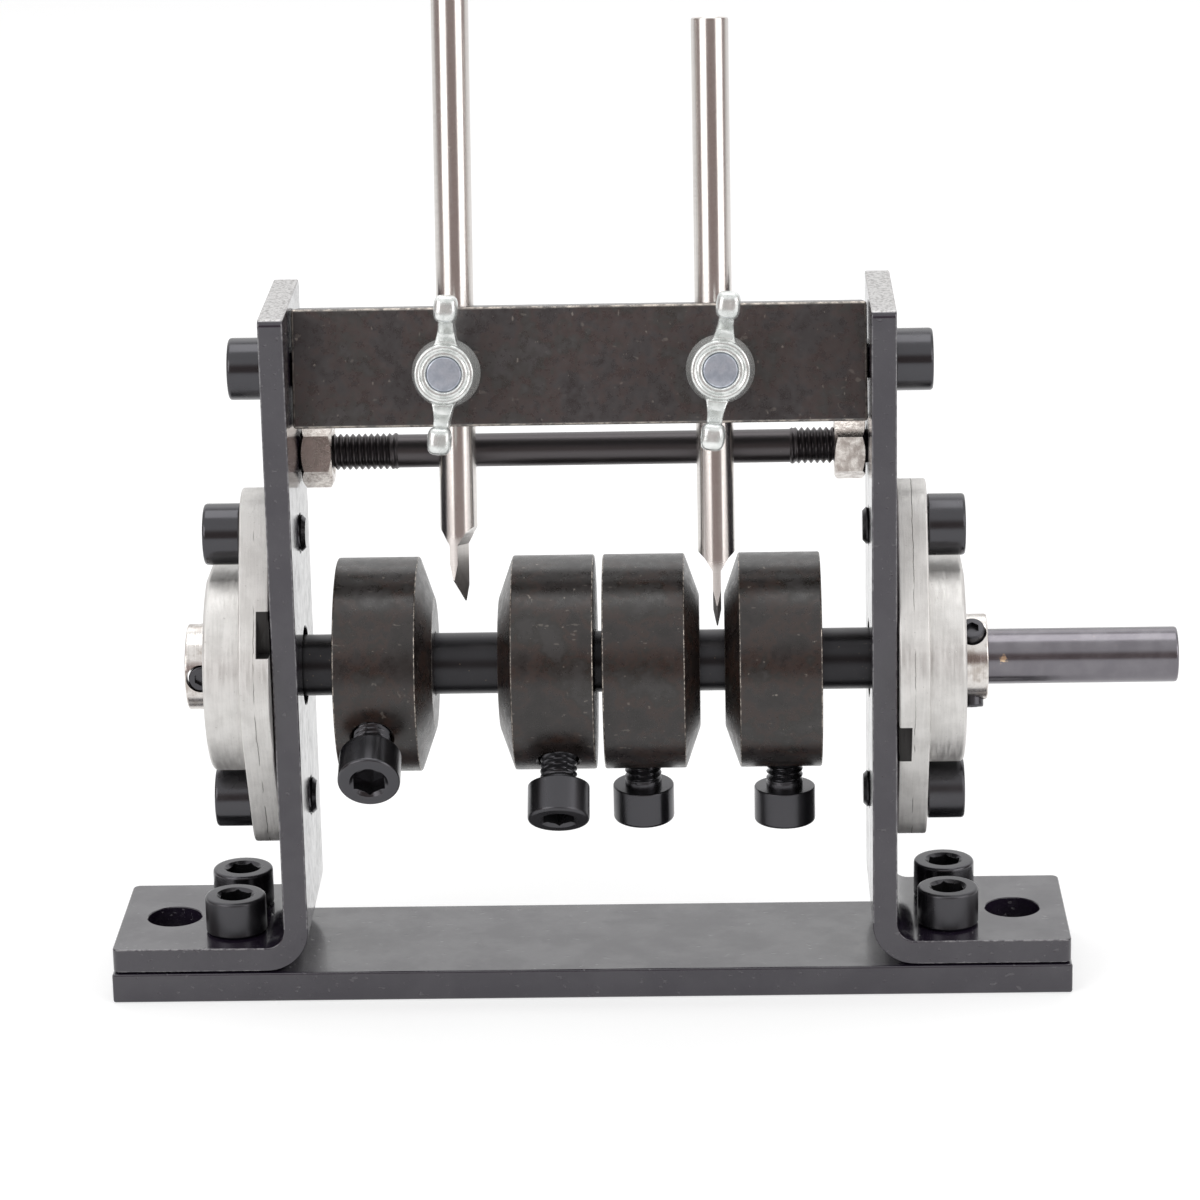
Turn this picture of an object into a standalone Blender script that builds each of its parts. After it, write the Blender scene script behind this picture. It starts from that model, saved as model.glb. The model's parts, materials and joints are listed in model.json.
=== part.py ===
# Hand crank wire stripper: a bent-plate frame with a tilting blade bar over four
# clamped rollers on one shaft, which runs in two flanged bearing units.
#
# Frame of the part: +X to the drive end of the shaft, +Y away from the operator, +Z up.
# The origin is at the middle of the base plate's underside. Lengths are in metres.

import math

import bmesh
import bpy
from mathutils import Euler, Matrix

# Clearances
SEAT_GAP = 0.0003
HOLE_CLEARANCE = 0.0003
CUT_OVERRUN = 0.001
WELD_DISTANCE = 0.000001

# Rollers, and the row that they stand in between the two brackets, from left to right
ROLLER_RADIUS = 0.0175
ROLLER_WIDTH = 0.0156
ROLLER_CHAMFER_WIDTH = 0.0024
ROLLER_CHAMFER_DEPTH = 0.0068
ROLLER_SCREW_INSET = 0.006
ROLLER_SCREW_NECK = 0.0043
ROLLER_SCREW_ANGLES = (25, 49, 94, 90)
LEFT_PLAY = 0.0057
LEFT_CHANNEL = 0.01055
MIDDLE_GAP = 0.0014
RIGHT_CHANNEL = 0.00405
RIGHT_PLAY = 0.0079

# Shaft
SHAFT_RADIUS = 0.005
SHAFT_HEIGHT = 0.053
SHAFT_DRIVE_REACH = 0.046
SHAFT_FREE_REACH = 0.0144
SHAFT_CHAMFER = 0.0005
STUB_RADIUS = 0.0045

# Base plate and bent brackets
PLATE_DEPTH = 0.030
BASE_THICKNESS = 0.005
BASE_END_MARGIN = 0.0002
BASE_BEVEL = 0.0004
BRACKET_THICKNESS = 0.004
BRACKET_TOP_MARGIN = 0.0114
BRACKET_CORNER_RADIUS = 0.0012
BEND_RADIUS = 0.003
FOOT_REACH = 0.0283
BENCH_HOLE_RADIUS = 0.0045
BENCH_HOLE_INSET = 0.0087
FOOT_HEAD_CLEARANCE = 0.0006
FOOT_SCREW_GAP = 0.0027
FOOT_SCREW_RECESS = 0.0005
SHAFT_OPENING_CLEARANCE = 0.0015

# M6 socket screws and nuts
M6_RADIUS = 0.003
M6_HEAD_RADIUS = 0.005
M6_HEAD_HEIGHT = 0.006
M6_HEAD_CHAMFER = 0.0005
M6_TIP_CHAMFER = 0.0006
M6_SOCKET_WIDTH = 0.005
M6_SOCKET_DEPTH = 0.003
M6_NUT_WIDTH = 0.010
M6_NUT_THICKNESS = 0.005

# Blade bar
BAR_HEIGHT = 0.019
BAR_DEPTH = 0.012
BAR_BEVEL = 0.0005
BAR_LEAN = 12
BAR_OVER_ROLLERS = 0.0325
BAR_SCREW_LENGTH = 0.016
BAR_SCREW_RUNOUT = 0.0013

# Tie rod behind and below the bar
TIE_ANGLE = 25.1
TIE_CLEARANCE = 0.00066
TIE_WAIST_RADIUS = 0.0027
TIE_THREAD_RADIUS = 0.00295
TIE_LEFT_THREAD = 0.0191
TIE_RIGHT_THREAD = 0.0157
TIE_THREAD_RUNOUT = 0.0005
TIE_RECESS = 0.0005
TIE_NUT_TURNS = (18.7, 33)

# Flanged bearing units, sized outward from the shaft
INNER_RING_WALL = 0.0017
INNER_RING_REACH = 0.004
INNER_RING_STANDOFF = 0.001
RACE_GAP = 0.0043
OUTER_RING_WALL = 0.0017
OUTER_RING_WIDTH = 0.008
BARREL_WALL = 0.0037
BARREL_FLAT_DEPTH = 0.0007
BARREL_DEPTH = 0.0108
BARREL_BEVEL = 0.0006
SLOT_RISE = 0.0099
SLOT_HEIGHT = 0.00675
SLOT_DEPTH = 0.0019
SEAT_DEPTH = 0.0049
FLANGE_RIM = 0.001
FLANGE_LOBE_RADIUS = 0.0075
FLANGE_THICKNESS = 0.0049
FLANGE_HOLE_CLEARANCE = 0.0005
FLANGE_HEAD_CLEARANCE = 0.0005
FLANGE_SCREW_PROUD = 0.001
BALL_RADIUS = 0.0024
BALL_COUNT = 8
CAGE_WIDTH = 0.0016
CAGE_THICKNESS = 0.001
SEAL_THICKNESS = 0.0006
GRUB_RADIUS = 0.002
GRUB_LAND = 0.0003
GRUB_SOCKET_WIDTH = 0.002
GRUB_SOCKET_DEPTH = 0.0009
LEFT_GRUB_ANGLES = (0, 240)
LEFT_GRUB_PROUD = -0.0002
RIGHT_GRUB_ANGLES = (-52, 68)
RIGHT_GRUB_PROUD = 0.0012

# Blades: round rods that are ground to a thin knife at the lower end
BLADE_RADIUS = 0.003
BLADE_LENGTH = 0.0973
BLADE_CHAMFER = 0.0004
LEFT_BLADE_OFFSET = 0.0048
RIGHT_BLADE_CLEARANCE = 0.00045
LEFT_TIP_DEPTH = 0.0055
RIGHT_TIP_DEPTH = 0.0101
KNIFE_LENGTH = 0.0093
KNIFE_THICKNESS = 0.0013
KNIFE_TAPER = 0.002
KNIFE_SHOULDER = 0.0011
KNIFE_SLANT = 32
KNIFE_GRIND = 14
KNIFE_EDGE = 0.0002
BLADE_TURNS = (-15, 0)

# Wing screws that clamp the blades
CLAMP_OFFSET = 0.001
CLAMP_DROP = 0.0008
WING_STANDOFF = 0.0025
HUB_HEIGHT = 0.0082
HUB_BASE_RADIUS = 0.0055
HUB_FRONT_RADIUS = 0.0043
HUB_BEVEL = 0.0004
STUD_RECESS = 0.0002
EAR_REACH = 0.0103
EAR_RISE = 0.0105
EAR_TIP_RADIUS = 0.0022
EAR_TIP_THICKNESS = 0.0038
EAR_THICKNESS = 0.0024
EAR_ROOT_THICKNESS = 0.0084
EAR_NECK_REACH = 0.0085
EAR_TIP_ARC = (-40, 170)
EAR_OUTER_SHARES = ((0.0, 0.07), (0.50, 0.11), (0.80, 0.27), (1.04, 0.57))
EAR_INNER_SHARES = ((0.80, 0.90), (0.62, 0.69), (0.36, 0.58), (0.0, 0.58))
WING_TURNS = (3.7, 7.4)

# Facets
ROUND_STEPS = 32
BEARING_STEPS = 24
SMALL_STEPS = 16
ARC_STEPS = 5
BALL_RINGS = 4

# Places that follow from the sizes above
INNER_SPAN = (LEFT_PLAY + LEFT_CHANNEL + MIDDLE_GAP + RIGHT_CHANNEL + RIGHT_PLAY
              + 4 * ROLLER_WIDTH)
PLATE_FACE = INNER_SPAN / 2 + BRACKET_THICKNESS
FOOT_END = PLATE_FACE + FOOT_REACH
FOOT_BOTTOM = BASE_THICKNESS + SEAT_GAP
FOOT_TOP = FOOT_BOTTOM + BRACKET_THICKNESS
BAR_PIVOT_HEIGHT = SHAFT_HEIGHT + ROLLER_RADIUS + BAR_OVER_ROLLERS
SCREW_HOLE_RADIUS = M6_RADIUS + HOLE_CLEARANCE
FOOT_SCREW_OFFSET = BEND_RADIUS + M6_HEAD_RADIUS + FOOT_HEAD_CLEARANCE
FOOT_SCREW_SPACING = 2 * M6_HEAD_RADIUS + FOOT_SCREW_GAP
SHAFT_BORE_RADIUS = SHAFT_RADIUS + HOLE_CLEARANCE
SHAFT_OPENING_RADIUS = SHAFT_RADIUS + SHAFT_OPENING_CLEARANCE
NUT_CORNER_RADIUS = M6_NUT_WIDTH / 2 / math.cos(math.radians(30))

TIE_DISTANCE = math.hypot(BAR_DEPTH / 2, BAR_HEIGHT / 2) + NUT_CORNER_RADIUS + TIE_CLEARANCE
TIE_Y = TIE_DISTANCE * math.sin(math.radians(TIE_ANGLE))
TIE_HEIGHT = BAR_PIVOT_HEIGHT - TIE_DISTANCE * math.cos(math.radians(TIE_ANGLE))

# The face of each roller that looks at its wire channel, and the way it looks along X
ROLLER_1_FACE = LEFT_PLAY + ROLLER_WIDTH - INNER_SPAN / 2
ROLLER_2_FACE = ROLLER_1_FACE + LEFT_CHANNEL
ROLLER_3_FACE = ROLLER_2_FACE + 2 * ROLLER_WIDTH + MIDDLE_GAP
ROLLER_4_FACE = ROLLER_3_FACE + RIGHT_CHANNEL
ROLLER_ROW = ((ROLLER_1_FACE, 1), (ROLLER_2_FACE, -1), (ROLLER_3_FACE, 1), (ROLLER_4_FACE, -1))
LEFT_BLADE_X = ROLLER_1_FACE + LEFT_BLADE_OFFSET
RIGHT_BLADE_X = ROLLER_4_FACE - RIGHT_BLADE_CLEARANCE - KNIFE_THICKNESS / 2

# The blade tips stand below the level of the rollers' rims
LEFT_TIP_DROP = BAR_OVER_ROLLERS + LEFT_TIP_DEPTH
RIGHT_TIP_DROP = BAR_OVER_ROLLERS + RIGHT_TIP_DEPTH

INNER_RING_RADIUS = SHAFT_BORE_RADIUS + INNER_RING_WALL
OUTER_RING_BORE = INNER_RING_RADIUS + RACE_GAP
OUTER_RING_RADIUS = OUTER_RING_BORE + OUTER_RING_WALL
BALL_PITCH_RADIUS = (INNER_RING_RADIUS + OUTER_RING_BORE) / 2
GROOVE_RADIUS = BALL_RADIUS + HOLE_CLEARANCE
SEAT_RADIUS = OUTER_RING_RADIUS + SEAT_GAP
BARREL_RADIUS = SEAT_RADIUS + BARREL_WALL
BARREL_FLAT = BARREL_RADIUS - BARREL_FLAT_DEPTH
FLANGE_MIDDLE_RADIUS = BARREL_RADIUS + FLANGE_RIM
FLANGE_BOLT_REACH = BARREL_RADIUS + M6_HEAD_RADIUS + FLANGE_HEAD_CLEARANCE
HOUSING_FACE = PLATE_FACE + SEAT_GAP
RING_CENTRE = HOUSING_FACE + SEAT_DEPTH
SIDES = (("left", -1), ("right", 1))


def clear_scene():
    for item in list(bpy.data.objects):
        bpy.data.objects.remove(item, do_unlink=True)


def new_collection(name):
    collection = bpy.data.collections.new(name)
    bpy.context.scene.collection.children.link(collection)
    return collection


clear_scene()
PARTS = new_collection("hand_crank_wire_stripper")
CUTTERS = new_collection("cutters")


# Materials

def finish(name, colour, roughness, metallic):
    material = bpy.data.materials.new(name)
    material.use_nodes = True
    shader = material.node_tree.nodes["Principled BSDF"]
    shader.inputs["Base Color"].default_value = (*colour, 1)
    shader.inputs["Roughness"].default_value = roughness
    shader.inputs["Metallic"].default_value = metallic
    material.diffuse_color = (*colour, 1)
    return material


def satin_paint(name):
    return finish(name, (0.028, 0.03, 0.034), 0.42, 0.0)


def black_steel(name):
    return finish(name, (0.035, 0.031, 0.028), 0.38, 0.85)


def black_oxide(name):
    return finish(name, (0.018, 0.018, 0.02), 0.3, 0.8)


def cast_zinc(name):
    return finish(name, (0.56, 0.55, 0.52), 0.45, 0.9)


def bright_steel(name):
    return finish(name, (0.66, 0.66, 0.67), 0.18, 1.0)


def zinc_plate(name):
    return finish(name, (0.62, 0.61, 0.56), 0.3, 0.95)


def dark_rubber(name):
    return finish(name, (0.02, 0.02, 0.022), 0.7, 0.0)


# Building blocks

def add_object(name, mesh, material):
    part = bpy.data.objects.new(name, mesh)
    part.data.materials.append(material)
    PARTS.objects.link(part)
    return part


def from_bmesh(name, shape, material):
    mesh = bpy.data.meshes.new(name)
    shape.to_mesh(mesh)
    shape.free()
    return add_object(name, mesh, material)


def block(name, size, centre, material):
    shape = bmesh.new()
    bmesh.ops.create_cube(shape, size=1, matrix=Matrix.Translation(centre) @ Matrix.Diagonal((*size, 1)))
    return from_bmesh(name, shape, material)


# A cylinder along local Z, or with few steps a prism whose corner stands at the given angle
def cylinder(name, radius, bottom, top, material, steps=SMALL_STEPS, corner=90):
    shape = bmesh.new()
    middle = Matrix.Translation((0, 0, (bottom + top) / 2))
    turn = Matrix.Rotation(math.radians(corner - 90), 4, "Z")
    bmesh.ops.create_cone(shape, cap_ends=True, segments=steps, radius1=radius, radius2=radius,
                          depth=top - bottom, matrix=middle @ turn)
    return from_bmesh(name, shape, material)


# A turned shape: (radius, height) points that run down the outer side. A ring's outline
# closes on itself, and a solid one starts and ends on the axis.
def turned(name, outline, material, steps=ROUND_STEPS, ring=False):
    shape = bmesh.new()
    points = [shape.verts.new((radius, 0, height)) for radius, height in outline]
    for upper, lower in zip(points, points[1:]):
        shape.edges.new((upper, lower))
    if ring:
        shape.edges.new((points[-1], points[0]))
    part = from_bmesh(name, shape, material)
    screw = part.modifiers.new("turn", "SCREW")
    screw.steps = steps
    screw.render_steps = steps
    screw.use_merge_vertices = True
    screw.merge_threshold = WELD_DISTANCE
    return part


# A flat outline in local XY with its thickness centred on local Z
def flat_plate(name, outline, thickness, material):
    curve = bpy.data.curves.new(name, "CURVE")
    curve.dimensions = "2D"
    curve.fill_mode = "BOTH"
    curve.extrude = thickness / 2
    spline = curve.splines.new("POLY")
    spline.points.add(len(outline) - 1)
    for point, (across, along) in zip(spline.points, outline):
        point.co = (across, along, 0, 1)
    spline.use_cyclic_u = True
    guide = bpy.data.objects.new(name + "_outline", curve)
    PARTS.objects.link(guide)
    graph = bpy.context.evaluated_depsgraph_get()
    mesh = bpy.data.meshes.new_from_object(guide.evaluated_get(graph))
    mesh.name = name
    bpy.data.objects.remove(guide, do_unlink=True)
    shape = bmesh.new()
    shape.from_mesh(mesh)
    bmesh.ops.remove_doubles(shape, verts=shape.verts, dist=WELD_DISTANCE)
    bmesh.ops.recalc_face_normals(shape, faces=shape.faces)
    shape.to_mesh(mesh)
    shape.free()
    mesh.materials.clear()
    return add_object(name, mesh, material)


def arc(centre, radius, start, end, steps=ARC_STEPS):
    points = []
    for step in range(steps + 1):
        angle = math.radians(start + (end - start) * step / steps)
        points.append((centre[0] + radius * math.cos(angle), centre[1] + radius * math.sin(angle)))
    return points


def add_bevel(part, width, segments=1):
    bevel = part.modifiers.new("bevel", "BEVEL")
    bevel.width = width
    bevel.segments = segments
    bevel.limit_method = "ANGLE"


# The other shape is placed in the part's own axes and kept as a hidden guide
def combine(part, other, operation):
    other.parent = part
    PARTS.objects.unlink(other)
    CUTTERS.objects.link(other)
    other.hide_render = True
    other.display_type = "WIRE"
    boolean = part.modifiers.new(other.name, "BOOLEAN")
    boolean.operation = operation
    boolean.solver = "EXACT"
    boolean.object = other


def cut(part, other):
    combine(part, other, "DIFFERENCE")


def join(part, other):
    combine(part, other, "UNION")


def cut_hole(part, name, radius, start, direction, length, steps=SMALL_STEPS):
    drill = cylinder(part.name + "_" + name, radius, 0, length, part.data.materials[0], steps)
    drill.location = start
    drill.rotation_euler = direction
    cut(part, drill)


# Directions as rotations of local Z
ALONG_X = Euler((0, math.pi / 2, 0))
AGAINST_X = Euler((0, -math.pi / 2, 0))
DOWN = Euler((math.pi, 0, 0))
TO_FRONT = Euler((math.pi / 2, 0, 0))
TO_REAR = Euler((-math.pi / 2, 0, 0))


# Local Z points away from the middle of the machine and local X points up
def outward(side):
    return Euler((0, -math.pi / 2, 0 if side < 0 else math.pi))


# Local Z points away from the shaft, at an angle below the level line to the front
def radial(angle):
    return Euler((math.radians(90 + angle), 0, 0))


def on_radius(along, radius, angle):
    turn = math.radians(angle)
    return (along, -radius * math.cos(turn), -radius * math.sin(turn))


def empty(name, location, rotation=(0, 0, 0)):
    pivot = bpy.data.objects.new(name, None)
    pivot.location = location
    pivot.rotation_euler = rotation
    pivot.empty_display_size = SHAFT_RADIUS
    PARTS.objects.link(pivot)
    return pivot


def place(part, location, rotation=(0, 0, 0), parent=None):
    part.location = location
    part.rotation_euler = rotation
    part.parent = parent
    return part


# Socket screw with its head's seat at the origin, its head up local Z and its shank below
def socket_screw(name, length):
    outline = [
        (0, M6_HEAD_HEIGHT),
        (M6_HEAD_RADIUS - M6_HEAD_CHAMFER, M6_HEAD_HEIGHT),
        (M6_HEAD_RADIUS, M6_HEAD_HEIGHT - M6_HEAD_CHAMFER),
        (M6_HEAD_RADIUS, 0),
        (M6_RADIUS, 0),
        (M6_RADIUS, M6_TIP_CHAMFER - length),
        (M6_RADIUS - M6_TIP_CHAMFER, -length),
        (0, -length),
    ]
    screw = turned(name, outline, black_oxide(name), SMALL_STEPS)
    corner_radius = M6_SOCKET_WIDTH / 2 / math.cos(math.radians(30))
    socket = cylinder(name + "_socket", corner_radius, M6_HEAD_HEIGHT - M6_SOCKET_DEPTH,
                      M6_HEAD_HEIGHT + CUT_OVERRUN, screw.data.materials[0], 6)
    cut(screw, socket)
    return screw


# Base plate and brackets

def foot_screw_places(side):
    across = side * (PLATE_FACE + FOOT_SCREW_OFFSET)
    return (("front", (across, -FOOT_SCREW_SPACING / 2)), ("rear", (across, FOOT_SCREW_SPACING / 2)))


def bench_hole_x(side):
    return side * (FOOT_END - BENCH_HOLE_INSET)


def build_base():
    size = (2 * (FOOT_END + BASE_END_MARGIN), PLATE_DEPTH, BASE_THICKNESS)
    base = block("base_plate", size, (0, 0, BASE_THICKNESS / 2), satin_paint("base_plate"))
    add_bevel(base, BASE_BEVEL)
    top = BASE_THICKNESS + CUT_OVERRUN
    depth = top + CUT_OVERRUN
    for name, side in SIDES:
        cut_hole(base, name + "_bench_hole", BENCH_HOLE_RADIUS, (bench_hole_x(side), 0, top), DOWN, depth)
        for end, (across, along) in foot_screw_places(side):
            hole = name + "_" + end + "_screw_hole"
            cut_hole(base, hole, SCREW_HOLE_RADIUS, (across, along, top), DOWN, depth)


# The bracket's section runs up the inner face, over the top and down to the end of the foot
def bracket_section():
    inner_face = PLATE_FACE - BRACKET_THICKNESS
    bend_centre = (PLATE_FACE + BEND_RADIUS, FOOT_TOP + BEND_RADIUS)
    top = BAR_PIVOT_HEIGHT + BRACKET_TOP_MARGIN
    section = arc(bend_centre, BEND_RADIUS + BRACKET_THICKNESS, 270, 180)
    section += [(inner_face, top), (PLATE_FACE, top)]
    section += arc(bend_centre, BEND_RADIUS, 180, 270)
    section += [(FOOT_END, FOOT_TOP), (FOOT_END, FOOT_BOTTOM)]
    return section


# Rounds the two corners across the plate's thickness at one free end
def round_corners(part, across_axis, end_value):
    shape = bmesh.new()
    shape.from_mesh(part.data)
    corners = []
    for edge in shape.edges:
        start, stop = edge.verts
        reach = stop.co - start.co
        at_end = all(abs(corner.co[across_axis] - end_value) < CUT_OVERRUN for corner in edge.verts)
        level = abs(reach.z) < HOLE_CLEARANCE
        if at_end and level and abs(reach.length - BRACKET_THICKNESS) < HOLE_CLEARANCE:
            corners.append(edge)
    bmesh.ops.bevel(shape, geom=corners, offset=BRACKET_CORNER_RADIUS, segments=3, profile=0.5,
                    affect="EDGES", clamp_overlap=True)
    shape.to_mesh(part.data)
    shape.free()


def build_bracket(name, side):
    section = [(side * across, up) for across, up in bracket_section()]
    bracket = flat_plate(name + "_bracket", section, PLATE_DEPTH, satin_paint(name + "_bracket"))
    round_corners(bracket, 1, BAR_PIVOT_HEIGHT + BRACKET_TOP_MARGIN)
    round_corners(bracket, 0, side * FOOT_END)
    bracket.rotation_euler = TO_FRONT
    upright_start = side * (PLATE_FACE - BRACKET_THICKNESS - CUT_OVERRUN)
    upright_depth = BRACKET_THICKNESS + 2 * CUT_OVERRUN
    along = ALONG_X if side > 0 else AGAINST_X
    upright_holes = (
        ("shaft_opening", SHAFT_OPENING_RADIUS, 0, SHAFT_HEIGHT),
        ("upper_flange_hole", SCREW_HOLE_RADIUS, 0, SHAFT_HEIGHT + FLANGE_BOLT_REACH),
        ("lower_flange_hole", SCREW_HOLE_RADIUS, 0, SHAFT_HEIGHT - FLANGE_BOLT_REACH),
        ("bar_hole", SCREW_HOLE_RADIUS, 0, BAR_PIVOT_HEIGHT),
        ("tie_hole", TIE_THREAD_RADIUS + HOLE_CLEARANCE, TIE_Y, TIE_HEIGHT),
    )
    for hole, radius, back, up in upright_holes:
        cut_hole(bracket, hole, radius, (upright_start, up, -back), along, upright_depth)
    foot_depth = BRACKET_THICKNESS + 2 * CUT_OVERRUN
    foot_start = FOOT_BOTTOM - CUT_OVERRUN
    bench_hole = (bench_hole_x(side), foot_start, 0)
    cut_hole(bracket, "bench_hole", BENCH_HOLE_RADIUS, bench_hole, TO_REAR, foot_depth)
    for end, (across, back) in foot_screw_places(side):
        screw_hole = (across, foot_start, -back)
        cut_hole(bracket, end + "_screw_hole", SCREW_HOLE_RADIUS, screw_hole, TO_REAR, foot_depth)


def build_foot_screws(name, side):
    length = FOOT_TOP + SEAT_GAP - FOOT_SCREW_RECESS
    for end, (across, along) in foot_screw_places(side):
        screw = socket_screw(name + "_" + end + "_foot_screw", length)
        place(screw, (across, along, FOOT_TOP + SEAT_GAP))


# Blade bar, which pivots on its two end screws

def blade_places():
    return (("left", LEFT_BLADE_X, LEFT_TIP_DROP, -1), ("right", RIGHT_BLADE_X, RIGHT_TIP_DROP, 1))


def build_bar(pivot):
    half_length = INNER_SPAN / 2 - SEAT_GAP
    bar = block("crossbar", (2 * half_length, BAR_DEPTH, BAR_HEIGHT), (0, 0, 0), black_steel("crossbar"))
    add_bevel(bar, BAR_BEVEL, 2)
    place(bar, (0, 0, 0), parent=pivot)
    blade_hole = BLADE_RADIUS + HOLE_CLEARANCE
    hole_top = BAR_HEIGHT / 2 + CUT_OVERRUN
    for name, across, drop, side in blade_places():
        cut_hole(bar, name + "_blade_hole", blade_hole, (across, 0, hole_top), DOWN, 2 * hole_top)
        clamp_x = across + side * CLAMP_OFFSET
        cut_hole(bar, name + "_clamp_hole", SCREW_HOLE_RADIUS, (clamp_x, 0, -CLAMP_DROP), TO_FRONT,
                 BAR_DEPTH / 2 + CUT_OVERRUN)
        end_depth = BAR_SCREW_LENGTH - BRACKET_THICKNESS - SEAT_GAP + BAR_SCREW_RUNOUT
        cut_hole(bar, name + "_end_hole", SCREW_HOLE_RADIUS, (side * (half_length + CUT_OVERRUN), 0, 0),
                 AGAINST_X if side > 0 else ALONG_X, end_depth + CUT_OVERRUN)


def build_bar_screw(name, side):
    screw = socket_screw(name + "_bar_screw", BAR_SCREW_LENGTH)
    place(screw, (side * (PLATE_FACE + SEAT_GAP), 0, BAR_PIVOT_HEIGHT), outward(side))


def build_tie_rod():
    end = PLATE_FACE - TIE_RECESS
    right_thread = end - TIE_RIGHT_THREAD
    left_thread = TIE_LEFT_THREAD - end
    outline = [
        (0, end),
        (TIE_THREAD_RADIUS - TIE_THREAD_RUNOUT, end),
        (TIE_THREAD_RADIUS, end - TIE_THREAD_RUNOUT),
        (TIE_THREAD_RADIUS, right_thread),
        (TIE_WAIST_RADIUS, right_thread - TIE_THREAD_RUNOUT),
        (TIE_WAIST_RADIUS, left_thread + TIE_THREAD_RUNOUT),
        (TIE_THREAD_RADIUS, left_thread),
        (TIE_THREAD_RADIUS, TIE_THREAD_RUNOUT - end),
        (TIE_THREAD_RADIUS - TIE_THREAD_RUNOUT, -end),
        (0, -end),
    ]
    rod = turned("tie_rod", outline, black_oxide("tie_rod"), SMALL_STEPS)
    place(rod, (0, TIE_Y, TIE_HEIGHT), ALONG_X)


def build_tie_nut(name, side, corner_below_front):
    corner = side * (90 + corner_below_front)
    node = name + "_tie_nut"
    nut = cylinder(node, NUT_CORNER_RADIUS, -M6_NUT_THICKNESS, 0, zinc_plate(node), 6, corner)
    place(nut, (side * (INNER_SPAN / 2 - SEAT_GAP), TIE_Y, TIE_HEIGHT), outward(side))
    cut_hole(nut, "bore", TIE_THREAD_RADIUS + HOLE_CLEARANCE, (0, 0, CUT_OVERRUN), DOWN,
             M6_NUT_THICKNESS + 2 * CUT_OVERRUN)


# Flanged bearing units. Each piece is built with local Z along the shaft, away from the plate.

# Two lobes round the bolts, joined to the round middle by their common tangents
def flange_outline():
    reach = FLANGE_BOLT_REACH
    tangent = math.degrees(math.acos((FLANGE_MIDDLE_RADIUS - FLANGE_LOBE_RADIUS) / reach))
    outline = arc((reach, 0), FLANGE_LOBE_RADIUS, -tangent, tangent)
    outline += arc((0, 0), FLANGE_MIDDLE_RADIUS, tangent, 180 - tangent)
    outline += arc((-reach, 0), FLANGE_LOBE_RADIUS, 180 - tangent, 180 + tangent)
    outline += arc((0, 0), FLANGE_MIDDLE_RADIUS, 180 + tangent, 360 - tangent)
    return outline


def barrel_outline(inset):
    radius = BARREL_RADIUS - inset
    flat = math.degrees(math.acos((BARREL_FLAT - inset) / radius))
    sides = arc((0, 0), radius, flat, 180 - flat, 2 * ARC_STEPS)
    return sides + arc((0, 0), radius, 180 + flat, 360 - flat, 2 * ARC_STEPS)


# The points of a sphere between two heights, from the upper one down
def sphere_zone(radius, upper, lower):
    start = math.degrees(math.asin(upper / radius))
    end = math.degrees(math.asin(lower / radius))
    return arc((0, 0), radius, start, end)


def build_housing(name, side):
    material = cast_zinc(name + "_bearing_housing")
    housing = flat_plate(name + "_bearing_housing", flange_outline(), FLANGE_THICKNESS, material)
    housing.data.transform(Matrix.Translation((0, 0, FLANGE_THICKNESS / 2)))
    place(housing, (side * HOUSING_FACE, 0, SHAFT_HEIGHT), outward(side))
    barrel = flat_plate(housing.name + "_barrel", barrel_outline(0), BARREL_DEPTH - CUT_OVERRUN, material)
    barrel.data.transform(Matrix.Translation((0, 0, (BARREL_DEPTH + CUT_OVERRUN) / 2)))
    shape = bmesh.new()
    shape.from_mesh(barrel.data)
    rim = [edge for edge in shape.edges
           if all(abs(corner.co.z - BARREL_DEPTH) < SEAT_GAP for corner in edge.verts)]
    bmesh.ops.bevel(shape, geom=rim, offset=BARREL_BEVEL, segments=1, profile=0.5, affect="EDGES",
                    clamp_overlap=True)
    shape.to_mesh(barrel.data)
    shape.free()
    join(housing, barrel)
    upper = BARREL_DEPTH - SEAT_DEPTH
    lower = -SEAT_DEPTH
    zone = sphere_zone(SEAT_RADIUS, upper, lower)
    outline = [(0, upper + CUT_OVERRUN), (zone[0][0], upper + CUT_OVERRUN)]
    outline += zone
    outline += [(zone[-1][0], lower - CUT_OVERRUN), (0, lower - CUT_OVERRUN)]
    seat = turned(housing.name + "_seat", outline, material, BEARING_STEPS)
    seat.location = (0, 0, SEAT_DEPTH)
    cut(housing, seat)
    for end, turn in (("upper", 1), ("lower", -1)):
        cut_hole(housing, end + "_screw_hole", M6_RADIUS + FLANGE_HOLE_CLEARANCE,
                 (turn * FLANGE_BOLT_REACH, 0, FLANGE_THICKNESS + CUT_OVERRUN), DOWN,
                 FLANGE_THICKNESS + 2 * CUT_OVERRUN)
        slot_size = (SLOT_HEIGHT, FLANGE_MIDDLE_RADIUS, SLOT_DEPTH + CUT_OVERRUN)
        slot_centre = (turn * SLOT_RISE, -turn * (FLANGE_MIDDLE_RADIUS / 2 + SHAFT_OPENING_RADIUS),
                       (SLOT_DEPTH - CUT_OVERRUN) / 2)
        cut(housing, block(housing.name + "_" + end + "_slot", slot_size, slot_centre, material))


# Points of the round ball groove where it leaves a straight race at the given radius
def groove_points(race_radius, steps=ARC_STEPS):
    offset = BALL_PITCH_RADIUS - race_radius
    half = math.degrees(math.acos(abs(offset) / GROOVE_RADIUS))
    middle = 180 if offset > 0 else 0
    return arc((BALL_PITCH_RADIUS, 0), GROOVE_RADIUS, middle - half, middle + half, steps)


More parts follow.
